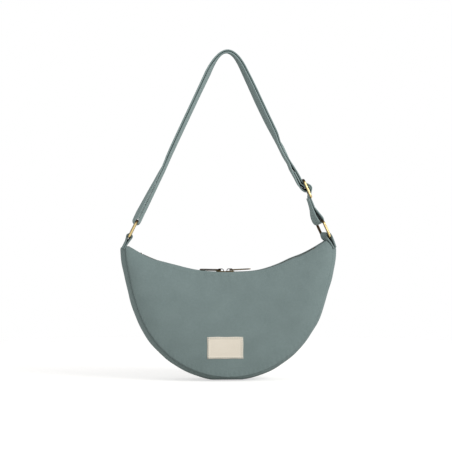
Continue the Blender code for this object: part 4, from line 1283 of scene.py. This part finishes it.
def apex_path(offset):
    """Over the top from left to right: a Bezier curve that carries both legs on, and meets the height.

    At its middle a Bezier curve is at the mean of its ends plus 3/8 of both handles. The pair turns from the
    lean of one leg to the lean of the other.
    """
    below = np.array([0.0, 0.002])
    ends = [leaning(side, 0.0, LEG_TOP[side] - below)[:, :3] for side in (-1, 1)]
    left, right = (pair[0] for pair in ends)
    rise, fall = (pair[0] - pair[1] for pair in ends)
    handle = 8 / 3 * (APEX_HEIGHT + FLOOR - (left[2] + right[2]) / 2) / (rise[2] + fall[2])
    share = np.linspace(0, 1, 61)[:, None]
    centre = left * (1 - share) ** 3 + 3 * (left + handle * rise) * share * (1 - share) ** 2
    centre = centre + 3 * (right + handle * fall) * share**2 * (1 - share) + right * share**3
    ahead = unit(np.gradient(centre, axis=0))
    out = joined(-ahead[:, 2], 0.0, ahead[:, 0])
    turns = through([(0.0, LIE[-1][-1][2]), (0.5, APEX_LEAN), (1.0, LIE[1][-1][2])])
    sin = np.sin(np.radians(np.interp(share[:, 0], *turns.T)))[:, None]
    way = unit(np.array([0.0, 1.0, 0.0]) - sin * out)
    return np.hstack([centre + offset * out, way, np.sign(offset) * EDGE_CURL * out])


# %% Webbing

# Cotton webbing: thick soft yarns in a herringbone whose ribs lean both ways from the middle.
WEBBING = woven("cotton herringbone webbing", "#728382", "#94A6A4", 0.0016, twill=0.8, mottled=0.3, fuzz=0.12)


def add_webbing(name, path, nodes, body=None, between=None):
    """A stretch of webbing. With between, which holds two bodies and the points where it leaves one and joins
    the other, the piece rides on no body and its transform is baked; the bodies and points are not used.
    """
    path = resample(path, STEP, smooth=3)
    stretch = band(path, STRAP_WIDTH, STRAP_THICKNESS, ribs=RIB_HEIGHT, columns=19)
    piece = add_piece(name, [stretch], WEBBING, body, nodes)
    if between:
        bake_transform(piece)
    print(f"{name}: {len(path) * STEP:.3f} m of webbing")


left_down = np.linspace(LEG_TOP[-1], LEFT_FOOT, 120)
right_up = np.linspace(RUN_TOP, LEG_TOP[1], 12)
loop = [
    leaning(1, -PLY_OFFSET, right_up)[:-1],
    apex_path(-PLY_OFFSET)[::-1],
    leaning(-1, -PLY_OFFSET, left_down)[1:-1],
    between_edges(-1, 0.001 * through(LEFT_LOOP), STRAP_WIDTH),
    leaning(-1, PLY_OFFSET, left_down[::-1])[1:-1],
    apex_path(PLY_OFFSET),
    leaning(1, PLY_OFFSET, right_up[::-1])[1:],
]
add_webbing("strap_loop_webbing", np.concatenate(loop), ["strap_loop"], "strap")

# %% Webbing at the adjuster and the right ring

ADJUSTER_HEIGHT = 0.0481
BAR_SPACING = 0.0128
BAR_WIRE = 0.0033
ADJUSTER_TILT = 0.04
ADJUSTER_TWIST = -4.0
ADJUSTER_BOW = 0.0009
ADJUSTER_INNER_WIDTH = 0.027
ADJUSTER_CORNER = 0.0032
LOWER_RUN_FOOT = 0.022
BAR_OFFSET = 0.0002 + STRAP_THICKNESS + 0.0003 + BAR_WIRE / 2
FOLD_RADIUS = BAR_WIRE / 2 + 0.0003 + STRAP_THICKNESS / 2
BIGHT_RADIUS = FOLD_RADIUS + STRAP_THICKNESS + 0.0004
BIGHT_TOP = ADJUSTER_HEIGHT + BAR_SPACING + 0.006
BIGHT_FOOT = ADJUSTER_HEIGHT - BAR_SPACING - 0.0035
TAIL_TOP = ADJUSTER_HEIGHT + 0.031
SPREAD_TOP = TAIL_TOP + 0.011


def leg_line(n, top, foot):
    """A stretch of the right leg, n from the middle of its pair."""
    return leaning(1, n, np.linspace(top, foot, 80))


def arc_points(centre, radius, start, end, steps=16):
    """n and t on a circle between two angles."""
    turn = np.linspace(start, end, steps)
    return centre[0] + radius * np.cos(turn), centre[1] + radius * np.sin(turn)


def fold_path():
    """Down beside its own tail in a slack curve, round the adjuster's middle bar, and up again as the tail.

    The curve's rows are n, t and how far the back edge lies further out and higher: the loop is tight at the
    back, and slack in front. The tail's back edge leans the other way, so the slot is closed at the back.
    """
    spread = -PLY_OFFSET - STRAP_THICKNESS - 0.0005
    bar = (BAR_OFFSET, ADJUSTER_HEIGHT)
    bar_n, bar_t = arc_points(bar, FOLD_RADIUS, math.radians(270), math.radians(480))
    slack = through([
        (-PLY_OFFSET, SPREAD_TOP, 0.0, 0.0),
        (spread, TAIL_TOP, 0.0006, 0.0),
        (spread - 0.0012, ADJUSTER_HEIGHT + 0.011, 0.0016, 0.0),
        (spread - 0.0006, ADJUSTER_HEIGHT + 0.003, 0.0036, 0.0006),
        (spread + 0.0016, ADJUSTER_HEIGHT - 0.0020, 0.0036, 0.0036),
        (0.0008, ADJUSTER_HEIGHT - 0.0042, 0.0020, 0.0036),
        (bar_n[0], bar_t[0], 0.0, 0.0),
    ])
    tail = [
        (-PLY_OFFSET, ADJUSTER_HEIGHT + 0.010, -0.0012, 0.0),
        (-PLY_OFFSET, TAIL_TOP - STRAP_THICKNESS, -0.0014, 0.0),
    ]
    rows = np.vstack([slack, joined(bar_n, bar_t, 0.0, 0.0)[1:], tail])
    return leaning(1, *rows.T)


def bight_path():
    """Inside the upper bar, round the outside of the fold, and inside the lower bar."""
    upper, lower = ADJUSTER_HEIGHT + BAR_SPACING, ADJUSTER_HEIGHT - BAR_SPACING
    cross = math.asin((FOLD_RADIUS + BIGHT_RADIUS) / BAR_SPACING)
    stretches = [
        ([PLY_OFFSET], [BIGHT_TOP]),
        arc_points((BAR_OFFSET, upper), FOLD_RADIUS, math.pi, math.pi + cross, 8),
        arc_points((BAR_OFFSET, ADJUSTER_HEIGHT), BIGHT_RADIUS, cross, -cross, 20),
        arc_points((BAR_OFFSET, lower), FOLD_RADIUS, math.pi - cross, math.pi, 8),
        ([PLY_OFFSET], [BIGHT_FOOT]),
    ]
    n, t = (np.concatenate(column) for column in zip(*stretches))
    return leaning(1, n, t)


def leg_place(t):
    """The point on the right leg's axis at height t."""
    return on_leg(1, 0.0, t)[:3]


add_webbing("strap_sewn_run_webbing", leg_line(-PLY_OFFSET, RUN_TOP, SPREAD_TOP), ["strap_sewn_run"],
            between=("strap", "adjuster", leg_place(RUN_TOP), leg_place(SPREAD_TOP)))
add_webbing("strap_live_run_webbing", leg_line(PLY_OFFSET, RUN_TOP, BIGHT_TOP), ["strap_live_run"],
            between=("strap", "adjuster", leg_place(RUN_TOP), leg_place(BIGHT_TOP)))
add_webbing("strap_lower_run_webbing", leg_line(PLY_OFFSET, BIGHT_FOOT, LOWER_RUN_FOOT), ["strap_lower_run"],
            between=("strap", "adjuster", leg_place(LOWER_RUN_FOOT), leg_place(BIGHT_FOOT)))
ring_end = between_edges(1, 0.001 * through(RIGHT_LOOP), STRAP_WIDTH)
add_webbing("strap_ring_end_webbing", ring_end, ["strap_ring_end"], "strap")
add_webbing("strap_sewn_fold_webbing", fold_path(), ["strap_sewn_fold"], "adjuster")
add_webbing("strap_bight_webbing", bight_path(), ["strap_bight"], "adjuster")

# %% [markdown]
# ## Adjuster
#
# A frame of round wire with a third bar across it. The webbing's end is folded round the middle bar, and the
# running layer goes behind the outer ones, so pulling on the strap clamps it.

# %% Adjuster


def adjuster_parts():
    """A wire round the rounded frame, whose height tilts outwards, and a round bar across its middle."""
    half_width = (ADJUSTER_INNER_WIDTH + BAR_WIRE) / 2
    width, height = rounded_frame(half_width, BAR_SPACING, ADJUSTER_CORNER).T
    offset = BAR_OFFSET + ADJUSTER_BOW
    places = on_leg(1, offset + ADJUSTER_TILT * height, ADJUSTER_HEIGHT + height, ADJUSTER_TWIST)
    path = places[:, :3] + width[:, None] * places[:, 3:]
    out = on_leg(1, 1.0, 0.0)[:3] - on_leg(1, 0.0, 0.0)[:3]
    middle = on_leg(1, offset, ADJUSTER_HEIGHT, ADJUSTER_TWIST)
    reach = np.linspace(-half_width, half_width, 40)[:, None]
    turn = np.linspace(0, math.tau, 16, endpoint=False)[:, None]
    along_leg = np.cross(out, middle[3:])
    section = BAR_WIRE / 2 * (np.cos(turn) * out + np.sin(turn) * along_leg)
    bar = middle[:3] + reach[:, None, :] * middle[3:] + section
    # Painted shade on the adjuster's upper bar, under the webbing.
    unshaded = unshaded_below_rail(height, BAR_SPACING)
    return [wire(path, out, BAR_WIRE / 2, unshaded), outward(skin(bar, around=True))]


add_piece("adjuster_brass", adjuster_parts(), RING_BRASS, "adjuster", ["adjuster"])

# %% [markdown]
# ## Camera, floor and light
#
# The photograph looks level at the bag from a little over two metres, slightly from the left, on a white
# sweep. The floor is matt and pale and fades out round the bag, and the white beyond it is what camera rays
# see of the world. A large soft key light from the right front, a weak fill from the left and an even sky
# keep the colours plain.

# %% Camera

CAMERA_HEIGHT = 0.213
CAMERA_DISTANCE = 2.2
CAMERA_YAW = math.radians(4.3)
FRAMED_WIDTH = 0.628
SENSOR = 36.0

camera_data = bpy.data.cameras.new("camera")
camera_data.sensor_width = SENSOR
camera_data.lens = SENSOR * CAMERA_DISTANCE / FRAMED_WIDTH
camera = bpy.data.objects.new("camera", camera_data)
bpy.context.scene.collection.objects.link(camera)
target = Vector((-0.0032, 0.0, FLOOR + CAMERA_HEIGHT))
back = Vector((-math.sin(CAMERA_YAW), -math.cos(CAMERA_YAW), 0.0))
camera.location = target + CAMERA_DISTANCE * back
camera.rotation_euler = (math.pi / 2, 0.0, -CAMERA_YAW)
bpy.context.scene.camera = camera
print(f"camera {camera_data.lens:.0f} mm, {CAMERA_DISTANCE} m away")

# %% Floor and backdrop

# How far the floor is lifted to white for the camera, and how strongly the sky lights the bag
FLOOR_GLOW = 0.61
SKY_LIGHT = 0.52
FLOOR_CLEARANCE = 0.0002
FLOOR_REACH = 1.2


def seen_directly(tree):
    """1 for rays from the camera, off shiny metal or through glass, and 0 for the light on the object."""
    path = add_node(tree, "ShaderNodeLightPath")
    seen = path.outputs["Is Camera Ray"]
    for other in ("Is Glossy Ray", "Is Transmission Ray"):
        seen = computed(tree, "MAXIMUM", seen, path.outputs[other])
    return seen


def floor_material():
    """A matt white sheet that fades to nothing away from the bag, and is lifted to white for the camera."""
    material, tree, shader = new_material("white paper sweep", Roughness=0.9)
    shader.inputs["Base Color"].default_value = linear("#C8C6C3")
    glow = computed(tree, "MULTIPLY", seen_directly(tree), FLOOR_GLOW)
    shader.inputs["Emission Color"].default_value = (1.0, 1.0, 1.0, 1.0)
    tree.links.new(glow, shader.inputs["Emission Strength"])
    place = add_node(tree, "ShaderNodeTexCoord").outputs["Object"]
    centred = add_node(tree, "ShaderNodeMapping", {"Vector": place, "Location": (0.0, 0.0, -FLOOR)})
    far = add_node(tree, "ShaderNodeVectorMath", {0: centred.outputs[0]}, operation="LENGTH")
    span = {"Value": far.outputs["Value"], "From Min": 0.5, "From Max": 0.9}
    fade = add_node(tree, "ShaderNodeMapRange", span, interpolation_type="SMOOTHSTEP")
    clear = add_node(tree, "ShaderNodeBsdfTransparent")
    blend = {0: fade.outputs[0], 1: shader.outputs[0], 2: clear.outputs[0]}
    mix = add_node(tree, "ShaderNodeMixShader", blend)
    tree.links.new(mix.outputs[0], tree.nodes["Material Output"].inputs["Surface"])
    return material


reach = np.linspace(-FLOOR_REACH, FLOOR_REACH, 25)
floor_points = joined(reach[:, None], reach[None, :], FLOOR - FLOOR_CLEARANCE)
floor = add_piece("floor", [skin(floor_points)], floor_material(), None)
floor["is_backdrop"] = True

world = bpy.data.worlds.new("white studio")
bpy.context.scene.world = world
world.use_nodes = True
sky = world.node_tree.nodes["Background"]
span = {"Value": seen_directly(world.node_tree), "To Min": SKY_LIGHT, "To Max": 1.0}
strength = add_node(world.node_tree, "ShaderNodeMapRange", span)
world.node_tree.links.new(strength.outputs[0], sky.inputs["Strength"])
sky.inputs["Color"].default_value = (1.0, 1.0, 1.0, 1.0)

# %% Lights


def add_soft_light(name, place, size, power):
    """A square area light that faces the bag."""
    lamp = bpy.data.lights.new(name, "AREA")
    lamp.size, lamp.energy = size, power
    light = bpy.data.objects.new(name, lamp)
    bpy.context.scene.collection.objects.link(light)
    light.location = place
    light.rotation_euler = (target - light.location).to_track_quat("-Z", "Y").to_euler()
    print(f"{name}: {power} W, {size} m wide")


add_soft_light("key light", Vector((1.6, -1.5, 0.75)), 1.2, 42.0)
add_soft_light("fill light", Vector((-2.3, -0.3, -0.30)), 1.0, 7.0)

bpy.context.scene.view_settings.view_transform = "Standard"

# %% Sizes, and the end

scene_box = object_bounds()
for word, box in (("CAD", cad_box), ("scene", scene_box)):
    print(word, [round(1000 * (high - low), 1) for low, high in zip(*box)], "mm")
